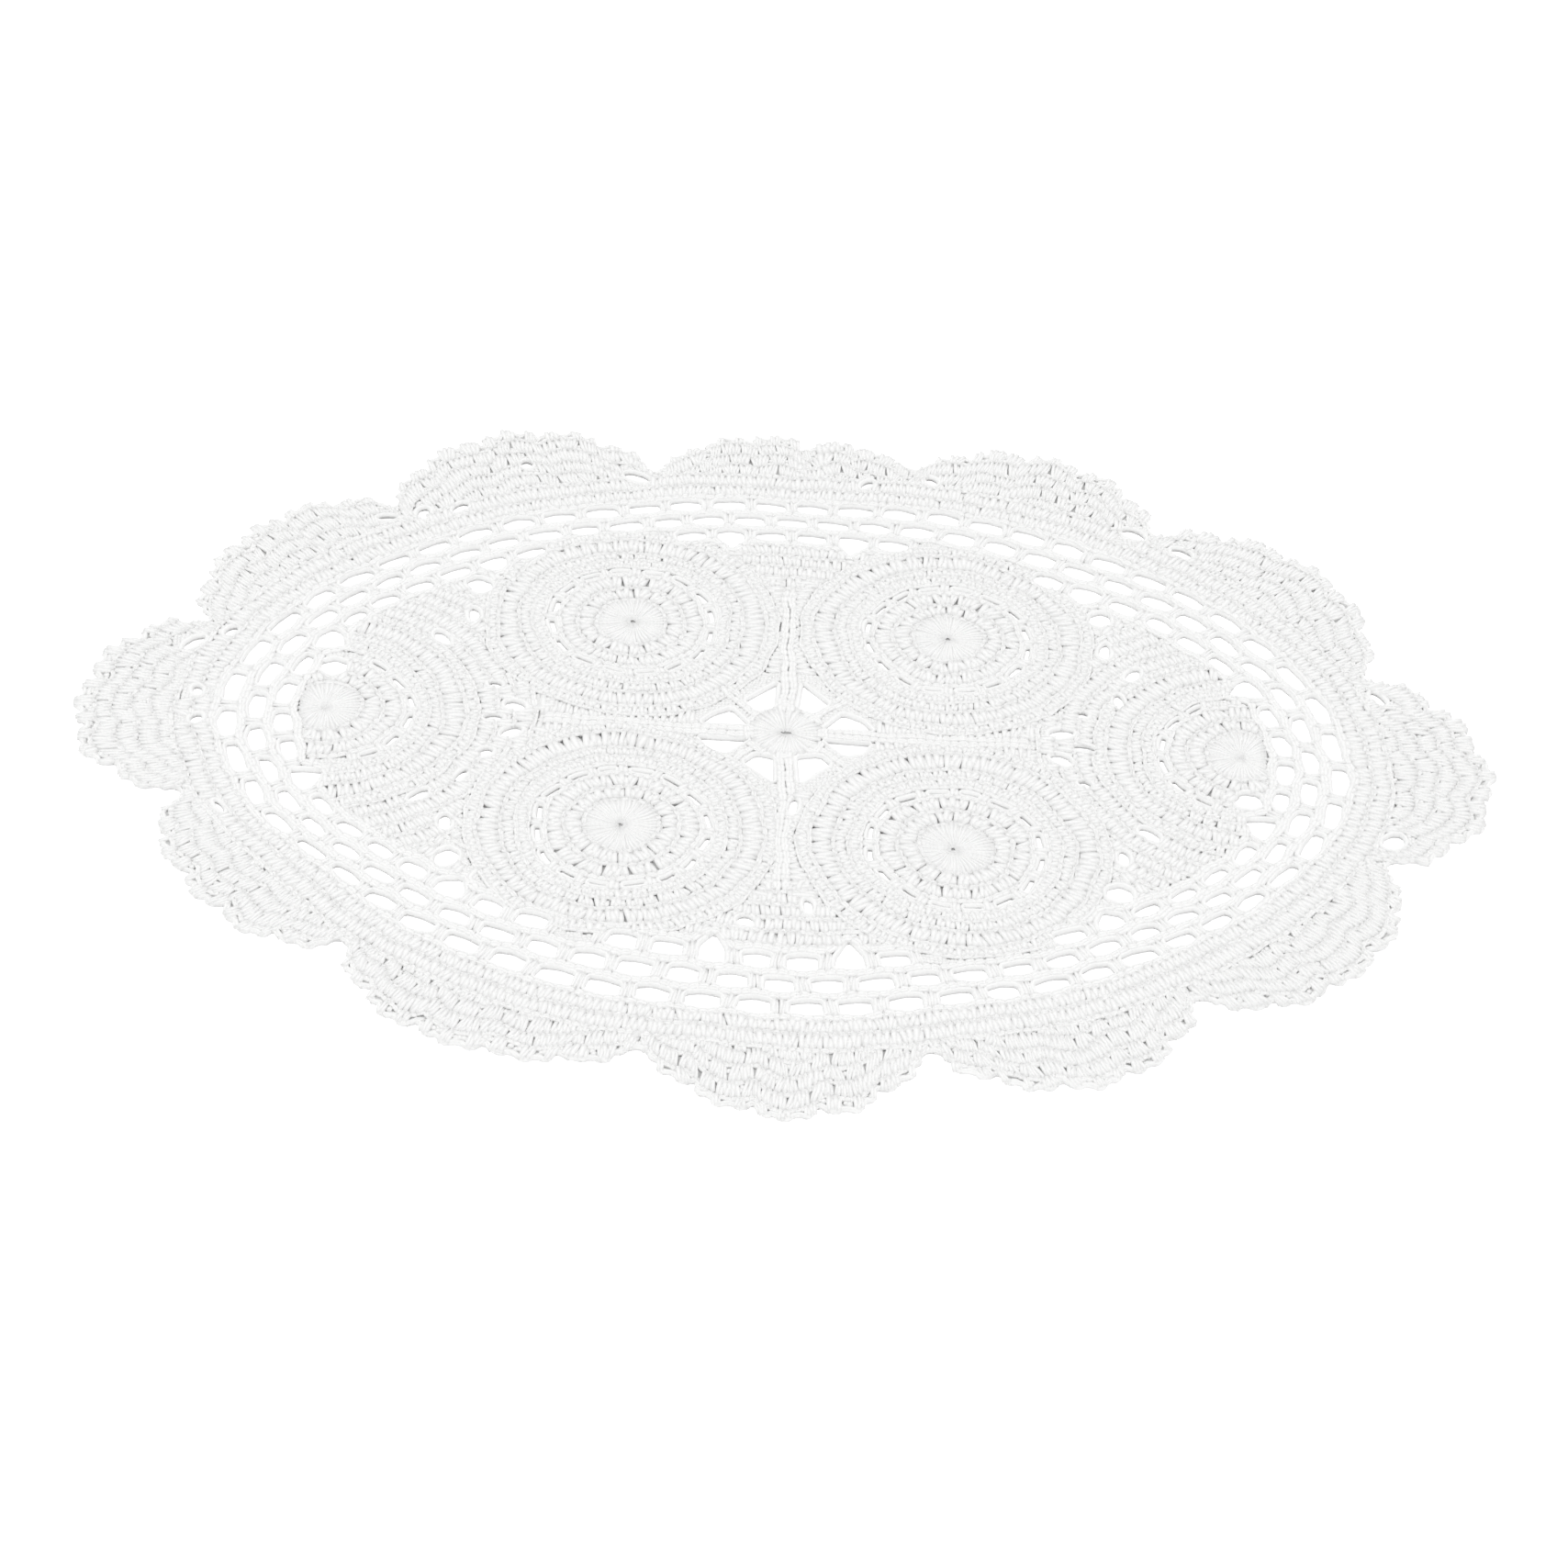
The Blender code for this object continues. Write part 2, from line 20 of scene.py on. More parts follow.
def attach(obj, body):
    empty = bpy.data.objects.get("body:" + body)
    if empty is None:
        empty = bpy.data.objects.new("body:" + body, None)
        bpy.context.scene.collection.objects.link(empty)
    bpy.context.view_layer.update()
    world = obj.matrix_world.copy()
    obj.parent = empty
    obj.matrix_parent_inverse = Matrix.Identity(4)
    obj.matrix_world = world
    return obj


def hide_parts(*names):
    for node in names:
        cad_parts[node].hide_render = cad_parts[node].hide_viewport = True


# ---------------------------------------------------------------- sizes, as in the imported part
BOX_MIDDLE = (0.4945, -2.5182)  # of the outline, from the middle of the star
HALF_LENGTH, HALF_WIDTH = 138.0, 88.0  # of the core oval
PLACES = 12
FINE_STEPS = 4001
RIM_STEPS = 1200  # of the core oval, to find the rim place of a point

ROSETTES = {
    "upper_right": (46.5, 46.0),
    "upper_left": (-46.0, 46.5),
    "lower_left": (-44.5, -43.5),
    "lower_right": (47.0, -45.0),
}
HALF_ROSETTES = {"right": (130.0, 0.0), "left": (-130.0, 0.0)}
WHOLE_MIDDLES = np.array(list(ROSETTES.values()))
HALF_MIDDLES = np.array(list(HALF_ROSETTES.values()))
ALL_MIDDLES = np.concatenate([WHOLE_MIDDLES, HALF_MIDDLES])
ROSETTE_EDGE = 43.5
SPOKES = 16

LOOPS = 60
NET_ROWS = 3
CHAIN_DIP = 0.9
DEEP_LOOPS = {2: 4.5, 7: 2.5, 13: 5.0}
LOOPS_IN_QUARTER = LOOPS // 4
POST_WIDTH = 2.9
CHAIN_WIDTH = 2.3

PETALS = 5
KNOBS_IN_PETAL = 3
KNOB_HEIGHT = 1.8
PETAL_GAP = 1.7
PETAL_ROUND = 3.0
FAN_FOOT = 9.0
EDGE_STEPS = 241

SCALLOPS = np.array(
    [
        # notch_place  notch_out  reach  pointed  net_out  lift
        (-0.45, 38, 63.5, 0.80, 22.5, 0.0),
        (0.40, 38, 59, 0.70, 22.5, 2.5),
        (1.42, 40, 61, 0.70, 25.5, 3.0),
        (2.48, 43, 57, 1.00, 22.5, 0.0),
        (3.62, 36, 62, 0.60, 21.5, 2.5),
        (4.72, 40, 55, 0.60, 20.0, 2.0),
        (5.62, 37, 63, 0.65, 23.0, 0.0),
        (6.42, 36, 53, 0.60, 19.0, 2.0),
        (7.33, 36, 58, 0.65, 26.5, 2.5),
        (8.50, 42, 62, 0.75, 26.0, 0.0),
        (9.55, 39, 60, 0.75, 23.5, 2.5),
        (10.58, 38, 56, 0.70, 19.5, 2.0),
    ]
)
NOTCH_PLACE, NOTCH_OUT, REACH, POINTED, NET_OUT, LIFT = range(6)
AT_MIDDLE = 0.04
TOP_SCALLOP = 3
DIP_SHARE, DIP_DEPTH, DIP_WIDTH = 0.37, 6.5, 0.05

# ---------------------------------------------------------------- how the cotton is worked
POST_HEIGHT = 1.5  # of a post's middle line over the surface
LOOP_HEIGHT = 1.65  # of a chain stitch on the head of a post
NET_HEIGHT = 1.6
ARM_HEIGHT = 1.65
# The strand along an edge: how far its middle lies inside the edge, and the strand's height over
# the surface, half width and half height
GAP_EDGING = (0.4, 1.2, 0.9, 1.0)
OUTLINE_EDGING = (0.8, 1.1, 0.7, 0.9)
SLOT_RADII = (21.2, 26.2)  # of the slots round the wheel of a rosette
SLOT_NARROWING = (0.75, 0.5)  # at the near and far sides of a wheel, and how much less at its ends
CORNER_CUT = 0.9  # how far from a gap's corner its edging turns
CUT_SHARE = 0.25  # of a line of the edge, at most, that its corner cut takes
NET_LEVEL = 0.99  # of the core oval, where the net begins
NEAR_NARROWING = 0.4  # of the net's gaps on the viewer's side
GROUND_LOW, GROUND_HIGH = 0.25, 1.15  # heights of the thread ground's two faces
TOP_ABOVE = 1.5  # a point above no other one and higher than this is of the upper side
GROUND_INSET = 0.75  # how far its edges lie inside the edges of the stitches
ROOM = 0.35  # least distance from a stitch's middle to the edge of a gap
ROW_SHIFT = 0.5  # how unevenly the rows of a fan stand
PETAL_SHIFT = 3.0  # how much earlier the rows of one petal start than those of the next
FOOT_PULL = (0.0, 0.6)  # how much of the way to their shared foot the posts of a fan lean
HEAD_PULL = 0.45  # the same at the heads of the border's posts, at most

# The star: its posts, the slit in its middle, the ring about it and its arms
STAR_POSTS = 32
STAR_RADII = (1.0, 10.4)  # of the feet and the heads of its posts
STAR_SLIT = (1.7, 0.7)  # how much longer and narrower the ring of feet is
STAR_RING = (11.2, 30, 2.3)  # radius, how many chain stitches, how wide
# How far from the star's middle the arms start, and how far out each kind of them goes
ARM_START, LONG_ARM, SHORT_ARM, SLANTING_ARM = 8.8, 68.5, 64.0, 23.0
# Half the distance between the two chains of an arm, and how wide they are
STRAIGHT_CHAINS = (1.1, 2.8)
SLANTING_CHAINS = (1.15, 2.5)
CHAIN_STITCH = 2.5  # length of a chain stitch in an arm

# The fillings
CORRIDOR_PLACES = (27.0, 70.0, 2.35)  # of the posts beside an arm: first, last and step
CORRIDOR_FOOT = 1.8  # from the middle of the arm
CORRIDOR_REACH = (2.6, 14.0)  # least and most of their heads' way from there
CORRIDOR_WIDTH = 2.6
ROSETTE_CLEAR = 0.3  # between the edge of a rosette and the stitches outside it
SIDE_RADII = (43.4, 48.6, 53.8, 59.0)  # of the rounds about the half rosettes
SIDE_EDGE = 64.0  # radius of what those rounds fill
RIM_OUTS = (-1.6, -44.0, -5.2)  # of the rounds that follow the core's rim: first, last and step
RIM_LENGTH = 716.0  # of the core oval, nearly
ROUND_HEIGHT = 4.5
SIDE_PITCH, RIM_PITCH = 2.5, 2.45  # between the posts of a round
RING_CLEAR = 0.3  # between the heads of a round's posts and its ring
ROUND_POST, ROUND_CHAIN = 2.7, 1.9  # widths, the first also of the star's and the border's posts
ARM_ROOM = (3.0, 3.4)  # what the arms take on both sides of their middle lines
ARM_REACH = (70.0, 62.0)  # beyond which they take none
FILL_MARGINS = (0.8, 0.4)  # of the posts and the chain stitches, from the core's rim
FILLED_FROM = 60.0  # the rounds lie farther than this from the middle, one way or the other

# The net
STITCHES_IN_LOOP = 5
NET_CHAIN_SHARE = 1.22  # of a chain stitch's width to that of the chain in the solid
TWIN_APART, TWIN_SHARE = 0.235, 0.58  # of the two posts of each post of the net
NET_POST_ENDS = 0.5  # how far from the middle lines of the chains a post of the net ends
SMALL_STEP = 0.01  # of a rim place, over which the rim's length is measured

# The border and its fans
BORDER_STITCHES = 384
BORDER_GROUP = 3  # how many of them are drawn together
BORDER_RING = (0.4, 2.0)  # how far outside the heads it lies, and how wide it is
KNOB_POSTS, KNOB_CHAINS = 4, 3  # posts and chain stitches to each knob
FAN_ROWS, ROW_STEP = 8, 5.5
FAN_BASE = 11.6  # how far outside the net the last row of a fan ends, nearly
FOOT_CLEAR, PAST_BASE = 0.1, 0.6  # of the feet: short of the next heads, and past the base
HEAD_INSET = 0.5  # how far the heads of a row lie inside the ring on them
FAN_WIDTHS = (1.3, 3.2)  # least and most of a post
LEAST_POST, LONGEST_CHAIN = 1.5, 4.0  # shorter posts and longer chain stitches are left out
FAN_CHAIN, EDGE_CHAIN = 1.7, 1.9  # widths
EDGE_INSET = 1.2
FAN_LOWER, EDGE_LOWER = 0.1, 0.55  # how much lower than other chain stitches they lie

# Darning: its patches, in cells, and its stitches in millimetres
PATCH = 7
COVER_REACH = 10  # cells round a point of a stitch that the stitch may cover
COVER_SHARE = 0.46  # of a stitch's width that it covers on each side of its middle line
KNOT_WIDTH, KNOT_HALF, SHORT_KNOT_HALF = 2.0, 0.7, 0.35
KNOT_LOWER = 0.15  # how much lower than the posts they lie
BARE_ROOM = 0.4  # least distance from a bare cell to the edge of a gap
DARNED_LEVEL = 0.94  # of the core oval, beyond which the rosettes too are darned
STAR_CLEAR = 3.0  # round the star's middle, where no darning goes
CREST_RADII = (0.0, 9.5, 13.5, 19.0, 23.6, 28.0, 34.5, 41.0, 43.5)
CREST_HEIGHTS = (0.1, 0.5, -0.1, 0.5, 0.0, 0.5, -0.1, 0.5, 0.1)

# The rounds of a rosette: where its posts start and end, how many groups of posts there are, how
# many posts are in a group, and how far apart the groups are at their heads (below 0: feet)
ROSETTE_POSTS = (
    (0.8, 11.2, 44, 1, 0.0),
    (11.0, 15.4, 16, 2, -1.3),
    (16.4, 20.8, 16, 3, -1.3),
    (26.3, 28.8, 40, 2, 0.3),
    (29.6, 32.5, 45, 2, 0.6),
    (33.5, 39.0, 46, 2, 0.65),
    (40.0, 42.5, 56, 2, 0.5),
)
# The rings of chain stitches between them: radius, how many, how wide
ROSETTE_RINGS = (
    (10.4, 26, 1.3),
    (15.9, 40, 1.9),
    (21.5, 52, 2.1),
    (26.0, 62, 2.0),
    (29.1, 70, 1.7),
    (33.0, 80, 1.8),
    (39.5, 96, 1.9),
    (42.7, 102, 1.9),
)
BRIDGES = (21.8, 25.6, 2.8)  # between the slots of a rosette: radii of both ends, and the width
BRIDGE_HIGHER = 0.1  # how much higher they are than other posts
BORDER_POSTS = ((0.5, 5.2), (5.6, 10.8))  # of the two rounds, outside the net
HALVES = {"right": (9, 10, 11, 0, 1, 2), "left": (3, 4, 5, 6, 7, 8)}  # the fans of each piece
# Waves that draw the work out of true: size, length, turn and start
PULLS = (
    (0.45, 61.0, 0.3, 0.5),
    (0.40, 47.0, 1.9, 1.3),
    (0.30, 23.0, 1.1, 2.2),
    (0.26, 19.0, 2.7, 0.2),
    (0.22, 11.0, 0.7, 1.8),
    (0.22, 9.5, 2.2, 0.9),
)
FULLNESS = 1.18  # of a post's width to the room that it has
WHEEL_FULLNESS = 1.4  # the same in a wheel, at its rim
EVEN_GAP = 1.15  # a middling opening at the feet, of the size in the table
MOST_GAP = 2.4  # the largest opening between groups of posts, of the size in the table
FEET_DRAWN, FEET_DRAWN_LESS = 0.9, 0.35  # share of the groups that are drawn together at their feet
TIGHTEN = 0.11  # of the room of a post, which the fullness of its neighbours takes
DARNED_SHARE = 0.3  # of a patch that is bare, over which it is darned
DARNED_IN_FANS = 0.65  # the same in the fans
DARNED_ROOM = 0.2  # least distance from a darning stitch's middle to the edge of a gap
UNDARNED = 41.0  # radius of the part of a rosette whose pointed openings stay
FLATNESS = 0.75  # of a strand's height to its width
STRAND_SHARE = 0.38  # of a post's width, for the radius of each of its two strands
STRAND_APART = 0.21  # of a post's width, from its middle line to the middle of each strand
LEAN_CHANCE = 0.2  # how unevenly the two strands lean, in radians
POST_SWELL = 0.1  # how much higher the middle of a post stands
PULL_UP = 0.15  # of a wave's size, by which it moves the work upwards
LEG_SHARE = 0.31  # of a chain stitch's width, for the radius of each of its two legs

# The camera in metres, as fitted to the photograph: its place, its way, its turn about that way
# as a cosine and a sine, and its lens and sensor in millimetres
CAMERA_PLACE = (-0.0242, -0.7501, 0.6392)
CAMERA_WAY = (0.0242, 0.7534, -0.6571)
CAMERA_TURN = (0.99713, 0.07567)
LENS, SENSOR = 80.09, 36.0
# The studio in metres
FLOOR_HALF = 6.0
LAMP_PLACE, LAMP_SIZE, LAMP_POWER = (-0.6, -0.8, 1.2), 1.1, 1.0
SKY_STRENGTH = 1.02


# ---------------------------------------------------------------- the oval and its rim
def oval_table():
    """Share of the way round the core oval, by arc length, against the oval's own angle."""
    angle = np.linspace(0.0, 2.0 * math.pi, FINE_STEPS)
    x, y = HALF_LENGTH * np.cos(angle), HALF_WIDTH * np.sin(angle)
    along = np.concatenate([[0.0], np.cumsum(np.hypot(np.diff(x), np.diff(y)))])
    return along / along[-1], angle


OVAL_SHARE, OVAL_ANGLE = oval_table()


def oval_level(flat):
    """1 on the core oval, less inside it."""
    return np.hypot(flat[:, 0] / HALF_LENGTH, flat[:, 1] / HALF_WIDTH)


def distances(flat, middles):
    """How far each flat point is from each of the middles, one row of distances for each."""
    away = flat - middles[:, None]
    return np.hypot(away[..., 0], away[..., 1])


def rim_xy(place, out):
    """Flat points at rim places: the oval's point there, moved out along the oval's normal."""
    angle = np.interp(np.asarray(place) / PLACES % 1.0, OVAL_SHARE, OVAL_ANGLE)
    point = np.stack([HALF_LENGTH * np.cos(angle), HALF_WIDTH * np.sin(angle)], axis=-1)
    normal = np.stack([np.cos(angle) / HALF_LENGTH, np.sin(angle) / HALF_WIDTH], axis=-1)
    normal /= np.linalg.norm(normal, axis=-1, keepdims=True)
    return point + normal * np.asarray(out)[..., None]


def rim_steps(count):
    """Places at even steps all the way round, and the place that follows each."""
    place = PLACES * np.arange(count) / count
    return place, place + PLACES / count


def rim_place_out(flat):
    """The rim places of flat points: the nearest of many points of the oval, and how far out."""
    place = PLACES * np.arange(RIM_STEPS) / RIM_STEPS
    rim, beyond = rim_xy(place, 0.0), rim_xy(place, 1.0)
    nearest = np.concatenate(
        [
            ((part[:, None, :] - rim) ** 2).sum(axis=2).argmin(axis=1)
            for part in np.array_split(flat, len(flat) // 1000 + 1)
        ]
    )
    out = ((flat - rim[nearest]) * (beyond - rim)[nearest]).sum(axis=1)
    return place[nearest], out


def notches():
    """The places of the thirteen notches, the first one again at the end, a whole turn on."""
    return np.append(SCALLOPS[:, NOTCH_PLACE], SCALLOPS[0, NOTCH_PLACE] + PLACES)


def around(place, column, power=1, level=0.0):
    """A column of the scallops' table at any place, eased by a cosine between their middles."""
    edges = notches()
    middles = (edges[:-1] + edges[1:]) / 2
    values = np.append(SCALLOPS[:, column], SCALLOPS[0, column]) ** power
    place = (np.asarray(place) - middles[0]) % PLACES + middles[0]
    middles = np.append(middles, middles[0] + PLACES)
    before = np.clip(np.searchsorted(middles, place, side="right") - 1, 0, PLACES - 1)
    start, end = middles[before] + level, middles[before + 1] - level
    share = np.clip((place - start) / (end - start), 0.0, 1.0)
    eased = (1 - np.cos(np.pi * share)) / 2
    return (values[before] + (values[before + 1] - values[before]) * eased) ** (1 / power)


def lift(place, out):
    """How far the cloth is off the surface: the rim's height times the square of the way out."""
    share = np.maximum(out, 0.0) / around(place, REACH)
    return around(place, LIFT, power=2, level=AT_MIDDLE) * share * share


def net_out(place, row):
    """How far out the chain under a row of the net lies."""
    return around(place, NET_OUT) * row / NET_ROWS


def scallop_arch(number, share):
    """Rim places of a scallop's smooth edge, which rises by (1 - side squared) to a power."""
    edges = notches()
    after = (number + 1) % PLACES
    start_out, end_out = SCALLOPS[number, NOTCH_OUT], SCALLOPS[after, NOTCH_OUT]
    side = 2 * share - 1
    foot = start_out + (end_out - start_out) * share
    rise = np.maximum(0.0, 1 - side**2) ** SCALLOPS[number, POINTED]
    place = edges[number] + (edges[number + 1] - edges[number]) * share
    return place, foot + (SCALLOPS[number, REACH] - foot) * rise


def even_shares(number, count):
    """Shares of a scallop at even steps of its edge's length."""
    fine = np.linspace(0.0, 1.0, EDGE_STEPS)
    edge = rim_xy(*scallop_arch(number, fine))
    along = np.concatenate([[0.0], np.cumsum(np.linalg.norm(np.diff(edge, axis=0), axis=1))])
    return np.interp(np.linspace(0.0, along[-1], count), along, fine)


def scallop_foot(number):
    """The point that a scallop's petals spread from."""
    edges = notches()
    middle = (edges[number] + edges[number + 1]) / 2
    return rim_xy(middle, SCALLOPS[number, NOTCH_OUT] - FAN_FOOT)


def set_back(number, share, depth):
    """Edge points of a scallop moved towards its foot, as (x, y, height of the cloth there)."""
    place, out = scallop_arch(number, share)
    point = rim_xy(place, out)
    inward = unit(scallop_foot(number) - point)
    return np.concatenate([point + inward * depth[..., None], lift(place, out)[..., None]], axis=-1)


def petal_depth(number, share, from_tip):
    """How far the edge falls back: the square of the way from a petal's tip, and the top's dip."""
    depth = PETAL_ROUND * from_tip**2
    if number == TOP_SCALLOP:
        depth = depth + DIP_DEPTH * np.exp(-(((share - DIP_SHARE) / DIP_WIDTH) ** 2))
    return depth


# ---------------------------------------------------------------- small helpers
def unit(vectors):
    """Vectors of length one."""
    return vectors / np.maximum(np.linalg.norm(vectors, axis=-1, keepdims=True), 1e-9)


def stitches(start_xy, end_xy, start_z, end_z, width):
    """Rows of seven numbers, one for each stitch."""
    count = len(start_xy)
    columns = [start_z, end_xy[:, 0], end_xy[:, 1], end_z, width]
    spread = [np.broadcast_to(np.asarray(column, float), (count,)) for column in columns]
    return np.column_stack([start_xy[:, 0], start_xy[:, 1]] + spread)


def uneven(rows, seed, flat=0.12, high=0.06, wide=0.05):
    """The same stitches as a hand works them: ends moved a little, widths changed by a share."""
    chance = np.random.default_rng(seed)
    rows = rows.copy()
    rows[:, [0, 1, 3, 4]] += chance.normal(0.0, flat, (len(rows), 4))
    rows[:, [2, 5]] += chance.normal(0.0, high, (len(rows), 2))
    rows[:, 6] *= chance.normal(1.0, wide, len(rows))
    return rows


def polar(middle, radius, angle):
    """Points at a radius and an angle round a middle."""
    return np.stack(
        [middle[0] + radius * np.cos(angle), middle[1] + radius * np.sin(angle)], axis=-1
    )


def turn_steps(count):
    """Angles at even steps of a whole turn, and the angle that follows each."""
    angle = 2 * math.pi * np.arange(count) / count
    return angle, angle + 2 * math.pi / count


def joined(lots):
    """All posts of several lots in one array, and all chain stitches in another."""
    return [np.concatenate(rows) for rows in zip(*lots)]


def crest(radius):
    """How much higher or lower a rosette is at a radius than its flat parts."""
    return np.interp(radius, CREST_RADII, CREST_HEIGHTS)


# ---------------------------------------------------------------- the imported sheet's edges
class Sheet:
    """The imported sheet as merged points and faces, in millimetres of the pattern's frame."""

    CELL = 0.15
    MARGIN = 5.0

    def __init__(self, node):
        mesh = node.data
        points = np.empty(len(mesh.vertices) * 3)
        mesh.vertices.foreach_get("co", points)
        points = points.reshape(-1, 3) * 1000
        points[:, :2] += BOX_MIDDLE
        mesh.calc_loop_triangles()
        faces = np.empty(len(mesh.loop_triangles) * 3, np.int64)
        mesh.loop_triangles.foreach_get("vertices", faces)
        rounded = np.round(points, 3)
        self.points, number = np.unique(rounded, axis=0, return_inverse=True)
        self.faces = number.reshape(-1)[faces].reshape(-1, 3)
        a, b, c = (self.points[self.faces[:, k]] for k in range(3))
        self.normals = unit(np.cross(b - a, c - a))
        top = self.faces[self.normals[:, 2] > 0.5]
        ends = np.concatenate([top[:, [0, 1]], top[:, [1, 2]], top[:, [2, 0]]])
        key = np.sort(ends, axis=1)
        _, first, times = np.unique(key, axis=0, return_index=True, return_counts=True)
        self.rim = ends[first[times == 1]]
        self.start = self.points[self.rim[:, 0], :2]
        self.end = self.points[self.rim[:, 1], :2]
        self.low = self.start.min(axis=0) - self.MARGIN
        self.cloth = self.cloth_cells()

    def edge_loops(self):
        """The flat points of the edges, and for each of them the number of the next one."""
        named, number = np.unique(self.rim.ravel(), return_inverse=True)
        number = number.reshape(-1, 2)
        after = np.empty(len(named), int)
        after[number[:, 0]] = number[:, 1]
        return self.points[named, :2], after

    def cloth_cells(self):
        """Which small cells hold cloth: along a row of cells, each edge that it meets begins or
        ends the cloth."""
        high = self.start.max(axis=0) + self.MARGIN
        count = np.ceil((high - self.low) / self.CELL).astype(int)
        start, end = ((ends - self.low) / self.CELL - 0.5 for ends in (self.start, self.end))
        first = np.ceil(np.minimum(start[:, 1], end[:, 1])).astype(int)
        met = np.ceil(np.maximum(start[:, 1], end[:, 1])).astype(int) - first
        edge = np.repeat(np.arange(len(start)), met)
        row = first[edge] + np.arange(len(edge)) - np.repeat(np.cumsum(met) - met, met)
        share = (row - start[edge, 1]) / (end - start)[edge, 1]
        column = np.ceil(start[edge, 0] + (end - start)[edge, 0] * share).astype(int)
        turns = np.zeros((count[1], count[0]), int)
        np.add.at(turns, (row, column), 1)
        return np.cumsum(turns, axis=1) % 2 == 1

    def has_room(self, flat, room):
        """Whether points lie over the cloth, and also all of a small circle round them."""
        turn, _ = turn_steps(8)
        ring = flat[:, None, :] + room * np.stack([np.cos(turn), np.sin(turn)], axis=-1)
        cell = np.floor((ring - self.low) / self.CELL).astype(int)
        tall, wide = self.cloth.shape
        column, row = np.clip(cell[..., 0], 0, wide - 1), np.clip(cell[..., 1], 0, tall - 1)
        return self.cloth[row, column].all(axis=1)

    def lies_over(self, rows, room=ROOM, at=(0.12, 0.5, 0.88)):
        """Which stitches lie over the cloth with their whole length."""
        keep = np.ones(len(rows), bool)
        for share in at:
            keep &= self.has_room(rows[:, :2] + (rows[:, 3:5] - rows[:, :2]) * share, room)
        return keep

    def over_cloth(self, rows):
        """Only those stitches that lie over the cloth, so that every gap stays open."""
        return rows[self.lies_over(rows)]

    def worked(self, posts, loops):
        """The two lots of a piece: its posts and its chain stitches, as far as they lie over cloth."""
        return [("posts", self.over_cloth(posts)), ("loops", self.over_cloth(loops))]


# ---------------------------------------------------------------- strands
def corner_uv(around_it, here, there):
    """Each face's four corner UVs: round the strand by one side, along it from here to there."""
    sides = around_it.shape[-1]
    beside = around_it + 1 / sides
    pairs = [around_it, here, around_it, there, beside, there, beside, here]
    return np.stack(pairs, axis=-1).reshape(-1, 4, 2)


def tubes(lines, radius, sides=4):
    """Strands: a ring of points at a radius round each point of each line, joined ring to ring.

    lines is (strand, point, xyz).  Returns points, faces of four corners and each corner's UV:
    u goes once round the strand and v is the way along it in millimetres.
    """
    count, samples = lines.shape[:2]
    along = unit(np.gradient(lines, axis=1))
    side = unit(np.cross(along, [0.0, 0.0, 1.0]))
    up = np.cross(side, along)
    turn = 2 * math.pi * (np.arange(sides) + 0.5) / sides
    radius = np.broadcast_to(radius, (count, samples))[:, :, None, None]
    rise = FLATNESS * np.sin(turn)[:, None]
    spread = np.cos(turn)[:, None] * side[:, :, None] + rise * up[:, :, None]
    ring = lines[:, :, None, :] + radius * spread
    number = np.arange(count * samples * sides).reshape(count, samples, sides)
    after = np.roll(number, -1, axis=2)
    walls = np.stack([number[:, :-1], number[:, 1:], after[:, 1:], after[:, :-1]], axis=-1)
    steps = np.linalg.norm(np.diff(lines, axis=1), axis=2)
    way = np.concatenate([np.zeros((count, 1)), np.cumsum(steps, axis=1)], axis=1)
    round_it = np.broadcast_to(np.arange(sides) / sides, (count, samples - 1, sides))
    here, there = (np.broadcast_to(w[:, :, None], round_it.shape) for w in (way[:, :-1], way[:, 1:]))
    caps = np.concatenate([number[:, 0, :], number[:, -1, ::-1]])
    faces = np.concatenate([walls.reshape(-1, 4), caps])
    uv = np.concatenate([corner_uv(round_it, here, there), np.zeros((len(caps), 4, 2))])
    return ring.reshape(-1, 3), faces, uv


def wheel_strands(rows):
    """The posts of a wheel, which are thin at their feet."""
    return post_strands(rows, lean=0.2, taper=0.24)


def post_strands(rows, lean=0.6, taper=1.0):
    """Posts: two strands side by side from foot to head, which lean over each other on the way.

    The middle of a post stands a little proud, and a tapered post is thin at its foot.
    """
    chance = np.random.default_rng(len(rows))
    steps = np.linspace(0.0, 1.0, 4)[:, None]
    foot, head = rows[:, None, :3], rows[:, None, 3:6]
    width = rows[:, 6][:, None, None]
    middle = foot + (head - foot) * steps
    middle[:, :, 2] += POST_SWELL * np.sin(np.pi * steps[:, 0])
    across = unit(np.cross([0.0, 0.0, 1.0], unit(head - foot)))
    angle = chance.normal(0.0, LEAN_CHANCE, (len(rows), 1, 1)) + lean * (2 * steps - 1)
    thin = width * (taper + (1 - taper) * steps)
    turned = np.cos(angle) * across + np.sin(angle) * np.array([0.0, 0.0, 1.0])
    offset = STRAND_APART * thin * turned
    radius = np.tile((STRAND_SHARE * thin)[:, :, 0], (2, 1))
    return tubes(np.concatenate([middle + offset, middle - offset]), radius)


def knot_strands(rows):
    """Darning stitches: one short strand each, thickest in its middle."""
    steps = np.array([0.0, 0.5, 1.0])[:, None]
    line = rows[:, None, :3] + (rows[:, None, 3:6] - rows[:, None, :3]) * steps
    return tubes(line, rows[:, 6][:, None] * np.array([0.38, 0.5, 0.38]))


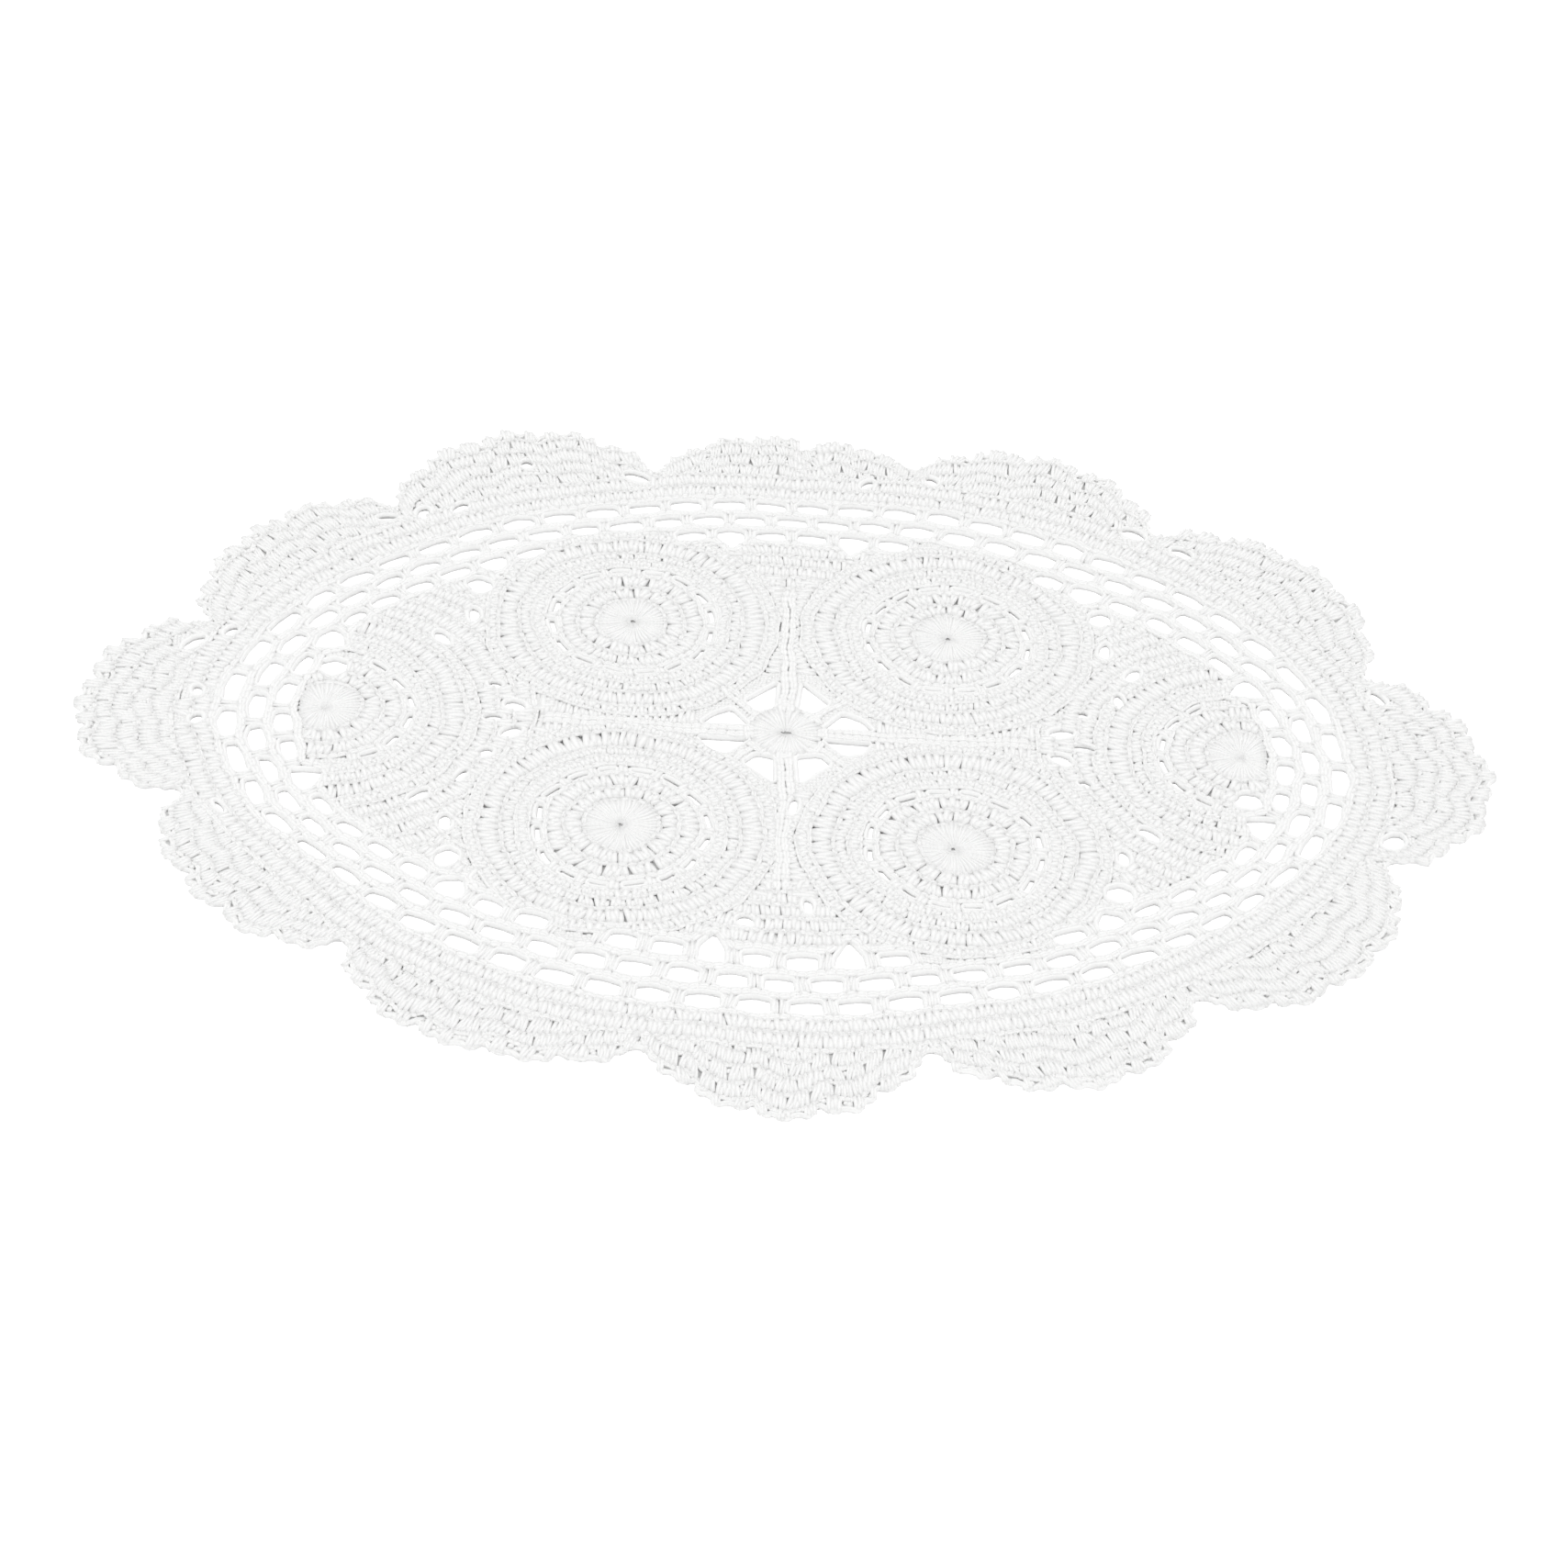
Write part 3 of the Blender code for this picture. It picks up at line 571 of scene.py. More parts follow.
def loop_strands(rows):
    """Chain stitches: two legs leave a low point, swell apart and up, and close under the next."""
    steps = np.array([0.0, 0.38, 0.78, 1.2])[:, None]
    apart = np.array([0.10, 0.18, 0.17, 0.10])[:, None]
    height = np.array([-0.14, 0.07, 0.09, -0.12])
    start, end = rows[:, None, :3], rows[:, None, 3:6]
    width = rows[:, 6][:, None, None]
    line = start + (end - start) * steps
    line[:, :, 2] += height * width[:, :, 0]
    across = unit(np.cross([0.0, 0.0, 1.0], end - start))
    radius = np.broadcast_to(LEG_SHARE * width[:, :, 0], line.shape[:2])
    legs = np.concatenate([line + across * apart * width, line - across * apart * width])
    return tubes(legs, np.concatenate([radius, radius]))


def edging(sheet, sides=6):
    """One strand along every edge of the sheet: a ring of points round each point of the edges.

    The edges' corners are cut a little way from both ends of each line, so that every gap has
    soft corners.  after holds the number of the point that follows each one.
    """
    flat, after = sheet.edge_loops()
    count, line = len(flat), flat[after] - flat
    cut = np.minimum(CUT_SHARE, CORNER_CUT / np.linalg.norm(line, axis=1))[:, None] * line
    flat = np.concatenate([flat + cut, flat + line - cut])
    after = np.concatenate([np.arange(count) + count, after])
    before = np.empty(len(flat), int)
    before[after] = np.arange(len(flat))
    outline = same_loop(after, flat[:, 0].argmax())
    inset, height, wide, high = np.where(outline[:, None], OUTLINE_EDGING, GAP_EDGING).T
    narrowing = slot_narrowing(flat) + np.where(outline, 0.0, near_narrowing(flat))
    along = unit(flat[after] - flat[before])
    inner = np.column_stack([-along[:, 1], along[:, 0]])
    middle = flat + inner * (inset - narrowing)[:, None]
    height = height + lift(*rim_place_out(middle))
    turn, _ = turn_steps(sides)
    reach = (wide[:, None] * np.cos(turn))[:, :, None] * inner[:, None, :]
    rise = (height[:, None] + high[:, None] * np.sin(turn))[:, :, None]
    ring = np.concatenate([middle[:, None, :] + reach, rise], axis=2)
    number = np.arange(len(flat) * sides).reshape(-1, sides)
    beside = np.roll(number, -1, axis=1)
    walls = np.stack([number, number[after], beside[after], beside], axis=-1).reshape(-1, 4)
    step = np.linalg.norm(flat[after] - flat, axis=1)
    round_it = np.broadcast_to(np.arange(sides) / sides, number.shape)
    there = np.broadcast_to(step[:, None], number.shape)
    return ring.reshape(-1, 3), walls, corner_uv(round_it, 0 * there, there)


def slot_narrowing(flat):
    """How much further out the strands round the slots of a rosette lie, and 0 elsewhere."""
    radius = distances(flat, ALL_MIDDLES)
    sideways = np.abs(flat[:, 0] - ALL_MIDDLES[:, :1]) / radius
    near = (radius > SLOT_RADII[0]) & (radius < SLOT_RADII[1])
    return np.where(near, SLOT_NARROWING[0] - SLOT_NARROWING[1] * sideways, 0.0).sum(axis=0)


def near_narrowing(flat):
    """How much the net's gaps are narrowed: more the nearer they are to the viewer's side."""
    in_net = oval_level(flat) > NET_LEVEL
    return NEAR_NARROWING * in_net * np.clip(-flat[:, 1] / HALF_WIDTH, 0.0, 1.0)


def same_loop(after, one):
    """Which points are on the same loop as one of them, by steps of one, two, four and so on."""
    least = np.arange(len(after))
    while True:
        smaller = np.minimum(least, least[after])
        if (smaller == least).all():
            return least == least[one]
        least, after = smaller, after[after]


def to_row(points):
    """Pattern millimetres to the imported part's frame in metres, drawn a little out of true.

    Each of a few waves moves the work along its own way by its size, as a hand that pulls the
    yarn unevenly does: x by sines of y and x, y by sines of x and y, and z a little upwards.
    """
    x, y = points[:, 0], points[:, 1]
    moved = points - np.array([BOX_MIDDLE[0], BOX_MIDDLE[1], 0.0])
    for size, length, turn, start in PULLS:
        phase = 2 * math.pi * (x * math.cos(turn) + y * math.sin(turn)) / length + start
        moved[:, 0] += size * np.sin(phase) * math.cos(3 * start)
        moved[:, 1] += size * np.sin(phase) * math.sin(3 * start)
        moved[:, 2] += PULL_UP * size * (1 + np.cos(phase))
    return moved / 1000


def mesh_piece(name, points, faces, uv=None, smooth=True):
    """A mesh object at the origin from whole arrays of points, faces and corner UVs."""
    mesh = bpy.data.meshes.new(name)
    size = faces.shape[1]
    mesh.vertices.add(len(points))
    mesh.vertices.foreach_set("co", points.astype(np.float32).ravel())
    mesh.loops.add(faces.size)
    mesh.loops.foreach_set("vertex_index", faces.astype(np.int32).ravel())
    mesh.polygons.add(len(faces))
    mesh.polygons.foreach_set("loop_start", np.arange(0, faces.size, size, dtype=np.int32))
    mesh.polygons.foreach_set("use_smooth", np.full(len(faces), smooth))
    if uv is not None:
        layer = mesh.uv_layers.new(name="yarn")
        layer.uv.foreach_set("vector", uv.astype(np.float32).ravel())
    mesh.update()
    mesh.validate()
    piece = bpy.data.objects.new(name, mesh)
    bpy.context.scene.collection.objects.link(piece)
    return piece


def stitched_piece(name, strands, material):
    """One piece from several lots of strands."""
    points, faces, uv, first = [], [], [], 0
    for own_points, own_faces, own_uv in strands:
        points.append(own_points)
        faces.append(own_faces + first)
        uv.append(own_uv)
        first += len(own_points)
    piece = mesh_piece(
        name, to_row(np.concatenate(points)), np.concatenate(faces), np.concatenate(uv)
    )
    piece.data.materials.append(material)
    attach(piece, "root")
    return piece


# ---------------------------------------------------------------- rosettes
def round_of_posts(middle, inner, outer, groups, together, gap, turned=0.0):
    """Posts from one radius to another in groups, whose heads are drawn together.

    The heads of most groups come nearer to the group's middle, so that a pointed opening is left
    between the groups, seldom a large one.  With a gap below 0 it is mostly the feet that do so,
    and the openings are more alike.
    """
    pitch = 2 * math.pi / groups / together
    own = (np.arange(together) - (together - 1) / 2) * pitch
    group = 2 * math.pi * (np.arange(groups) + turned) / groups
    chance = np.random.default_rng(int(10 * outer + abs(middle[0])))
    seldom = chance.uniform(0.0, 1.0, groups) ** 2
    size = EVEN_GAP * chance.uniform(0.6, 1.4, groups) if gap < 0 else MOST_GAP * seldom
    gaps = abs(gap) * size / outer
    drawn = (gaps / pitch + TIGHTEN) / max(together - 1, 1) * (together > 1)
    at_feet = chance.uniform(0.0, 1.0, groups) < (FEET_DRAWN if gap < 0 else FEET_DRAWN_LESS)
    foot = (group[:, None] + own * (1 - drawn * at_feet)[:, None]).ravel()
    head = (group[:, None] + own * (1 - drawn * ~at_feet)[:, None]).ravel()
    wide = FULLNESS * pitch * (inner + outer) / 2
    is_wheel = inner < 0.2 * outer
    if is_wheel:
        wide = WHEEL_FULLNESS * pitch * outer
    start, end = polar(middle, inner, foot), polar(middle, outer, head)
    return stitches(start, end, POST_HEIGHT + crest(inner), POST_HEIGHT + crest(outer), wide)


def ring_of_loops(middle, radius, count, width):
    """Chain stitches end to end round a circle."""
    angle, after = turn_steps(count)
    z = LOOP_HEIGHT + crest(radius)
    return stitches(polar(middle, radius, angle), polar(middle, radius, after), z, z, width)


def bridging_posts(middle):
    """The short posts between the slots, one at each spoke."""
    inner, outer, width = BRIDGES
    angle, _ = turn_steps(SPOKES)
    z = POST_HEIGHT + BRIDGE_HIGHER
    return stitches(polar(middle, inner, angle), polar(middle, outer, angle), z, z, width)


def rosette(sheet, middle, inside=None):
    """One rosette: its wheel, its rounds of posts and its rings of chain stitches.

    inside chooses the stitches of a half rosette, whose wheel ends at the core's edge.
    """
    wheel = round_of_posts(middle, *ROSETTE_POSTS[0])
    if inside is not None:
        wheel[:, :2] = middle
        wheel = ended_at_core(wheel)
    rounds = [round_of_posts(middle, *row, turned=k / 2) for k, row in enumerate(ROSETTE_POSTS)]
    rounds = np.concatenate(rounds[1:] + [bridging_posts(middle)])
    rings = np.concatenate([ring_of_loops(middle, *row) for row in ROSETTE_RINGS])
    if inside is not None:
        wheel, rounds, rings = inside(wheel), inside(rounds), inside(rings)
    return [("wheel", wheel)] + sheet.worked(rounds, rings)


# ---------------------------------------------------------------- choosing among stitches
def middles_of(rows):
    """The flat middle of each stitch."""
    return (rows[:, :2] + rows[:, 3:5]) / 2


def outside_rosettes(rows):
    """Only those stitches that lie outside every rosette."""
    radius = distances(middles_of(rows), ALL_MIDDLES)
    return rows[(radius > ROSETTE_EDGE + ROSETTE_CLEAR).all(axis=0)]


def inside_core(rows, margin):
    """Only those stitches whose middle lies inside the core oval, with a margin."""
    return rows[oval_level(middles_of(rows)) < 1.0 - margin / HALF_WIDTH]


def half_rosette_part(rows):
    """Only those stitches of a half rosette that lie inside the core oval."""
    return inside_core(rows, margin=0.6)


def away_from_sides(rows):
    """Only those stitches that the rounds about the half rosettes leave room for."""
    return rows[(distances(middles_of(rows), HALF_MIDDLES) >= SIDE_EDGE).all(axis=0)]


def off_the_arms(rows):
    """Only those stitches that lie beside the star's arms or beyond their ends."""
    away = np.abs(middles_of(rows))
    return rows[(away > ARM_ROOM).all(axis=1) | (away > ARM_REACH).any(axis=1)]


def ended_at_core(rows):
    """The same posts, each that would cross the core oval shortened to its share inside it."""
    foot, head = oval_level(rows[:, :2]), oval_level(rows[:, 3:5])
    share = (NET_LEVEL - foot) / np.maximum(head - foot, 1e-6)
    share = np.where(head > NET_LEVEL, share, 1.0)
    rows = rows.copy()
    rows[:, 3:6] = rows[:, :3] + (rows[:, 3:6] - rows[:, :3]) * share[:, None]
    return rows


# ---------------------------------------------------------------- the star and the fillings
def chain_line(start, end, width):
    """Chain stitches end to end on a straight line."""
    start, end = np.array(start, float), np.array(end, float)
    count = max(1, int(round(np.linalg.norm(end - start) / CHAIN_STITCH)))
    share = np.arange(count + 1)[:, None] / count
    points = start + (end - start) * share
    return stitches(points[:-1], points[1:], ARM_HEIGHT, ARM_HEIGHT, width)


def star():
    """The star: tapered posts round its slit, and eight arms of two chains each."""
    middle = (0.0, 0.0)
    angle, _ = turn_steps(STAR_POSTS)
    inner, outer = (polar(middle, radius, angle) for radius in STAR_RADII)
    wheel = stitches(inner * STAR_SLIT, outer, POST_HEIGHT, POST_HEIGHT, ROUND_POST)
    arms = [ring_of_loops(middle, *STAR_RING)]
    apart, wide = STRAIGHT_CHAINS
    for side in (1, -1):
        for twin in (apart, -apart):
            for way, reach in ((1, LONG_ARM), (-1, SHORT_ARM)):
                start, end = (side * ARM_START, twin)[::way], (side * reach, twin)[::way]
                arms.append(chain_line(start, end, wide))
    apart, wide = SLANTING_CHAINS
    for x, y in ROSETTES.values():
        toward = np.array([x, y]) / math.hypot(x, y)
        across = np.array([-toward[1], toward[0]]) * apart
        for twin in (across, -across):
            start, end = toward * ARM_START + twin, toward * SLANTING_ARM + twin
            arms.append(chain_line(start, end, wide))
    return wheel, np.concatenate(arms)


def corridor_posts():
    """Short posts from the long and the short arms to the rosettes on both sides of them."""
    rows = []
    least, most = CORRIDOR_REACH
    for x, y in ROSETTES.values():
        way = np.arange(*CORRIDOR_PLACES)
        for turned in (False, True):
            near, far = (abs(y), abs(x)) if turned else (abs(x), abs(y))
            reach = far - np.sqrt(np.maximum(0.0, ROSETTE_EDGE**2 - (way - near) ** 2))
            keep = (np.abs(way - near) < ROSETTE_EDGE) & (reach > least) & (reach < most)
            start = np.column_stack([way[keep], np.full(keep.sum(), CORRIDOR_FOOT)])
            end = np.column_stack([way[keep], reach[keep]])
            if turned:
                start, end = start[:, ::-1], end[:, ::-1]
            side = np.sign([x, y])
            high = POST_HEIGHT + BRIDGE_HIGHER
            rows.append(stitches(start * side, end * side, POST_HEIGHT, high, CORRIDOR_WIDTH))
    return np.concatenate(rows)


def post_round(foot, head):
    """One round's posts from their feet to their heads."""
    return stitches(foot, head, POST_HEIGHT, POST_HEIGHT, ROUND_POST)


def chain_round(here, beside):
    """One round's chain stitches, each from its place to the next."""
    return stitches(here, beside, LOOP_HEIGHT, LOOP_HEIGHT, ROUND_CHAIN)


def side_rounds():
    """The small fans at the ends of the long arms: more rounds about the half rosettes."""
    rounds = []
    for middle in HALF_ROSETTES.values():
        for inner in SIDE_RADII:
            outer = inner + ROUND_HEIGHT
            ring = outer + RING_CLEAR
            angle, after = turn_steps(int(2 * math.pi * outer / SIDE_PITCH))
            posts = post_round(polar(middle, inner, angle), polar(middle, outer, angle))
            rounds.append((posts, chain_round(polar(middle, ring, angle), polar(middle, ring, after))))
    return joined(rounds)


def rim_rounds():
    """Rounds that follow the core's rim inwards, but not near the half rosettes."""
    rounds = []
    for outer in np.arange(*RIM_OUTS):
        place, after = rim_steps(int((RIM_LENGTH + 2 * math.pi * outer) / RIM_PITCH))
        ring = outer + RING_CLEAR
        posts = post_round(rim_xy(place, outer - ROUND_HEIGHT), rim_xy(place, outer))
        rounds.append((posts, chain_round(rim_xy(place, ring), rim_xy(after, ring))))
    return [away_from_sides(rows) for rows in joined(rounds)]


def fillings():
    """All that fills the core between the rosettes."""
    lots = []
    for rows, margin in zip(joined([side_rounds(), rim_rounds()]), FILL_MARGINS):
        rows = off_the_arms(outside_rosettes(inside_core(rows, margin)))
        lots.append(rows[np.abs(middles_of(rows)).max(axis=1) > FILLED_FROM])
    posts, loops = lots
    return np.concatenate([posts, corridor_posts()]), loops


# ---------------------------------------------------------------- the net
def under_rosette(loop):
    """Whether the rim of a rosette fills this loop of the first row."""
    place = (loop + 0.5) * PLACES / LOOPS
    flat = rim_xy(place, net_out(place, 1) / 2)
    return (distances(flat, WHOLE_MIDDLES) < ROSETTE_EDGE).any(axis=0)


def chain_out(place, row):
    """The line of a net chain: the posts that stand on it draw it out, those under it draw it in."""
    wave = np.cos(2 * math.pi * (place * LOOPS / PLACES - 0.5 * (row % 2)))
    out = net_out(place, row) + CHAIN_DIP / 2 * wave
    if row == 0:
        loop = np.floor(place * LOOPS / PLACES).astype(int) % LOOPS
        share = place * LOOPS / PLACES % 1.0
        quarter, own = loop // LOOPS_IN_QUARTER, loop % LOOPS_IN_QUARTER
        own = np.where(quarter % 2 == 1, LOOPS_IN_QUARTER - 1 - own, own)
        deep = np.zeros(LOOPS_IN_QUARTER)
        deep[list(DEEP_LOOPS)] = list(DEEP_LOOPS.values())
        out = out - deep[own] * (1 - np.abs(2 * share - 1))
    return out


def net_chains():
    """The four chains of the net, five chain stitches to each loop."""
    rows = []
    for row in range(NET_ROWS + 1):
        place, after = rim_steps(LOOPS * STITCHES_IN_LOOP)
        own = stitches(
            rim_xy(place, chain_out(place, row)),
            rim_xy(after, chain_out(after, row)),
            NET_HEIGHT + lift(place, net_out(place, row)),
            NET_HEIGHT + lift(after, net_out(after, row)),
            CHAIN_WIDTH * NET_CHAIN_SHARE,
        )
        if row == 0:
            own = own[~under_rosette(np.arange(len(own)) // STITCHES_IN_LOOP)]
        rows.append(own)
    return np.concatenate(rows)


def net_posts():
    """The posts of the net, each two posts side by side from chain to chain."""
    rows = []
    for row in range(NET_ROWS):
        loop = np.arange(LOOPS)
        place = (loop + 0.5 * (row % 2)) * PLACES / LOOPS
        if row == 0:
            place = place[~(under_rosette(loop) & under_rosette(loop - 1))]
        foot_out = chain_out(place, row) if row else net_out(place, 0) + CHAIN_DIP / 2
        head_out = chain_out(place, row + 1)
        ahead = rim_xy(place + SMALL_STEP, foot_out)
        pitch = np.linalg.norm(ahead - rim_xy(place, foot_out), axis=1)
        for twin in (-1, 1):
            beside = place + twin * TWIN_APART * POST_WIDTH * SMALL_STEP / pitch
            foot = rim_xy(beside, foot_out + NET_POST_ENDS)
            head = rim_xy(beside, head_out - NET_POST_ENDS)
            low = NET_HEIGHT + lift(place, foot_out)
            high = NET_HEIGHT + lift(place, head_out)
            rows.append(stitches(foot, head, low, high, POST_WIDTH * TWIN_SHARE))
    return np.concatenate(rows)


# ---------------------------------------------------------------- darning
def bare_cells(sheet, rows):
    """Which cells hold cloth that is under no stitch: each stitch covers the cells near it."""
    bare = sheet.cloth.copy()
    start, way = rows[:, :2], rows[:, 3:5] - rows[:, :2]
    length, along = np.linalg.norm(way, axis=1), unit(way)
    reach = np.arange(-COVER_REACH, COVER_REACH + 1)
    around_it = np.stack(np.meshgrid(reach, reach), axis=-1).reshape(-1, 2)
    for share in np.linspace(0.0, 1.0, 5):
        first = np.floor((start + way * share - sheet.low) / sheet.CELL).astype(int)
        for step in around_it:
            own = first + step
            offset = sheet.low + (own + 0.5) * sheet.CELL - start
            on = (offset * along).sum(axis=1)
            beside = np.abs(offset[:, 0] * along[:, 1] - offset[:, 1] * along[:, 0])
            own = own[(on > 0) & (on < length) & (beside < COVER_SHARE * rows[:, 6])]
            bare[own[:, 1], own[:, 0]] = False
    return bare


def darning(sheet, rows):
    """Short stitches, along the rim, over every place that all the other stitches leave bare.

    A square patch of cells that has enough bare ones gets a stitch of its own.  Where it has no
    room along the rim it stands across it, or else it is shorter.
    """
    row, column = np.nonzero(bare_cells(sheet, rows))
    flat = sheet.low + (np.column_stack([column, row]) + 0.5) * sheet.CELL
    cloth = sheet.has_room(flat, BARE_ROOM)
    row, column, flat = row[cloth], column[cloth], flat[cloth]
    patch = row // PATCH * sheet.cloth.shape[1] + column // PATCH
    _, number, times = np.unique(patch, return_inverse=True, return_counts=True)
    middle = np.stack([np.bincount(number.reshape(-1), flat[:, k]) for k in (0, 1)], axis=1)
    middle /= times[:, None]
    place, out = rim_place_out(middle)
    in_fan = out > net_out(place, NET_ROWS) + BORDER_POSTS[1][1] + 1.0
    least = np.where(in_fan, DARNED_IN_FANS, DARNED_SHARE) * PATCH * PATCH
    keep = (times >= least) & (np.hypot(middle[:, 0], middle[:, 1]) > STAR_CLEAR)
    radius = distances(middle, ALL_MIDDLES)
    slots = (radius > SLOT_RADII[0]) & (radius < SLOT_RADII[1])
    keep &= ((radius > UNDARNED) | slots | (oval_level(middle) > DARNED_LEVEL)).all(axis=0)
    middle, place, out = middle[keep], place[keep], out[keep]
    along = unit(rim_xy(place + 0.02, out) - rim_xy(place - 0.02, out))
    across = along[:, ::-1] * (-1, 1)
    z = POST_HEIGHT - KNOT_LOWER + lift(place, out)
    knots = stitches(middle - KNOT_HALF * along, middle + KNOT_HALF * along, z, z, KNOT_WIDTH)
    for way in (KNOT_HALF * across, SHORT_KNOT_HALF * along):
        other = stitches(middle - way, middle + way, z, z, KNOT_WIDTH)
        knots = np.where(sheet.lies_over(knots, DARNED_ROOM)[:, None], knots, other)
    return knots[sheet.lies_over(knots, DARNED_ROOM)]


# ---------------------------------------------------------------- the border
def border_rounds():
    """The two close rounds outside the net, and the rings of chain stitches on them."""
    rounds = []
    place, after = rim_steps(BORDER_STITCHES)
    base = net_out(place, NET_ROWS)
    group = np.arange(BORDER_STITCHES) // BORDER_GROUP
    clear, ring_width = BORDER_RING
    for inner, outer in BORDER_POSTS:
        chance = np.random.default_rng(int(outer))
        pull = (chance.uniform(0.0, 1.0, group[-1] + 1) ** 2 * HEAD_PULL)[group]
        drawn = place + pull * (np.bincount(group, place)[group] / BORDER_GROUP - place)
        start, end = rim_xy(place, base + inner), rim_xy(drawn, base + outer)
        low, high = lift(place, base + inner), lift(place, base + outer)
        posts = stitches(start, end, POST_HEIGHT + low, POST_HEIGHT + high, ROUND_POST)
        own, own_after = base + outer + clear, net_out(after, NET_ROWS) + outer + clear
        z = LOOP_HEIGHT + lift(place, own)
        ring = stitches(rim_xy(place, own), rim_xy(after, own_after), z, z, ring_width)
        rounds.append((posts, ring))
    return joined(rounds)


def fan(number):
    """One fan: rows of posts that spread to the scallop's edge, and the rings between them.

    The four posts of a knob lean to one foot, and in the next row the groups are half a knob on.
    """
    petal_posts = KNOBS_IN_PETAL * KNOB_POSTS
    count = PETALS * petal_posts
    share = even_shares(number, 2 * count + 1)[1::2]
    step = np.arange(count) + 0.5
    from_tip = step % petal_posts / (petal_posts / 2) - 1
    edge = set_back(number, share, petal_depth(number, share, from_tip))
    place, _ = scallop_arch(number, share)
    base_out = net_out(place, NET_ROWS) + FAN_BASE
    base = np.column_stack([rim_xy(place, base_out), lift(place, base_out)])
    whole = np.linalg.norm(edge[:, :2] - base[:, :2], axis=1)
    inward = (base - edge) / whole[:, None]
    posts, loops = [], []
    chance = np.random.default_rng(100 + number)
    earlier = chance.uniform(0.0, PETAL_SHIFT, PETALS)[np.arange(count) // petal_posts]
    head_way = np.full(count, HEAD_INSET)
    for row in range(FAN_ROWS):
        group = (np.arange(count) + (row % 2) * KNOB_POSTS // 2) // KNOB_POSTS
        shift = chance.normal(0.0, ROW_SHIFT, group[-1] + 1)[group]
        next_way = HEAD_INSET + ROW_STEP * (row + 1) - earlier + np.abs(shift)
        foot_way = np.minimum(next_way - FOOT_CLEAR, whole + PAST_BASE)
        head, foot = edge + inward * head_way[:, None], edge + inward * foot_way[:, None]
        shared = np.stack([np.bincount(group, foot[:, axis]) for axis in range(3)], axis=1)
        shared /= np.bincount(group)[:, None]
        pull = chance.uniform(*FOOT_PULL, group[-1] + 1)[group, None]
        foot = foot + pull * (shared[group] - foot)
        spread = np.linalg.norm(np.gradient(head[:, :2], axis=0), axis=1)
        wide = np.clip(FULLNESS * spread, *FAN_WIDTHS)
        keep = foot_way - head_way > LEAST_POST
        low, high = POST_HEIGHT + foot[:, 2], POST_HEIGHT + head[:, 2]
        posts.append(stitches(foot[:, :2], head[:, :2], low, high, wide)[keep])
        if row:
            ring = edge + inward * (head_way - HEAD_INSET)[:, None]
            chain = chain_of(ring, LOOP_HEIGHT - FAN_LOWER, FAN_CHAIN)
            near = np.linalg.norm(chain[:, 3:5] - chain[:, :2], axis=1) < LONGEST_CHAIN
            loops.append(chain[keep[:-1] & keep[1:] & near])
        head_way = next_way
    return np.concatenate(posts), np.concatenate(loops)


def chain_of(line, height, width):
    """Chain stitches from point to point of a line, at a height over the cloth there."""
    z = height + line[:, 2]
    return stitches(line[:-1, :2], line[1:, :2], z[:-1], z[1:], width)


def knobbed_edge(number):
    """The chain along one scallop's edge, which goes out round each knob and in between them."""
    petal_chains = KNOB_CHAINS * KNOBS_IN_PETAL
    step = np.arange(PETALS * petal_chains + 1)
    share = even_shares(number, len(step))
    in_petal = step % petal_chains
    depth = petal_depth(number, share, in_petal / (petal_chains / 2) - 1)
    valley = step % KNOB_CHAINS == 0
    depth = depth + np.where(valley, np.where(in_petal > 0, KNOB_HEIGHT, PETAL_GAP), 0.0)
    depth[[0, -1]] = 0.0
    line = set_back(number, share, depth + EDGE_INSET)
    return chain_of(line, LOOP_HEIGHT - EDGE_LOWER, EDGE_CHAIN)


# ---------------------------------------------------------------- the thread ground
def thread_ground(sheet, upper_cotton, under_cotton):
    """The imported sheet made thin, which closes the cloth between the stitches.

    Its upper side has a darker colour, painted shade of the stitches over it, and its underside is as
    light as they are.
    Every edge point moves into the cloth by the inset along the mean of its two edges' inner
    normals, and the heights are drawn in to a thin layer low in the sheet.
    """
    points = sheet.points.copy()
    edge = unit(sheet.end - sheet.start)
    inner = np.column_stack([-edge[:, 1], edge[:, 0]])
    flat_key, number = np.unique(np.round(points[:, :2], 3), axis=0, return_inverse=True)
    number = number.reshape(-1)
    push = np.zeros((len(flat_key), 2))
    for end in (0, 1):
        np.add.at(push, number[sheet.rim[:, end]], inner)
    length = np.linalg.norm(push, axis=1, keepdims=True)
    push = np.where(length > 0, push / np.maximum(length, 0.5), 0.0)
    lowest = np.full(len(flat_key), np.inf)
    np.minimum.at(lowest, number, points[:, 2])
    flat = flat_key[number]
    top_only = (np.bincount(number)[number] == 1) & (points[:, 2] > TOP_ABOVE)
    is_under = (np.abs(points[:, 2] - lowest[number]) < 1e-6) & ~top_only
    low = np.where(top_only, 0.0, lowest[number])
    points[:, :2] += push[number] * GROUND_INSET
    points[:, 2] = low + np.where(is_under, GROUND_LOW, GROUND_HIGH)
    outer = top_only & (oval_level(flat) > 1.0)
    points[outer, 2] = lift(*rim_place_out(flat[outer])) + GROUND_HIGH
    ground = mesh_piece("thread_ground", to_row(points), sheet.faces, smooth=False)
    ground.data.materials.append(upper_cotton)
    ground.data.materials.append(under_cotton)
    # Faces that look up get the darker material, painted shade of the stitches; faces that look down
    # get the light underside cotton.
    faces_down = (sheet.normals[:, 2] < -0.5).astype(np.int32)
    ground.data.polygons.foreach_set("material_index", faces_down)
    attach(ground, "root")
    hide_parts("doily")
    return ground


# ---------------------------------------------------------------- cotton
def set_inputs(node, values):
    """Sets a node's inputs by their names."""
    for name, value in values.items():
        node.inputs[name].default_value = value


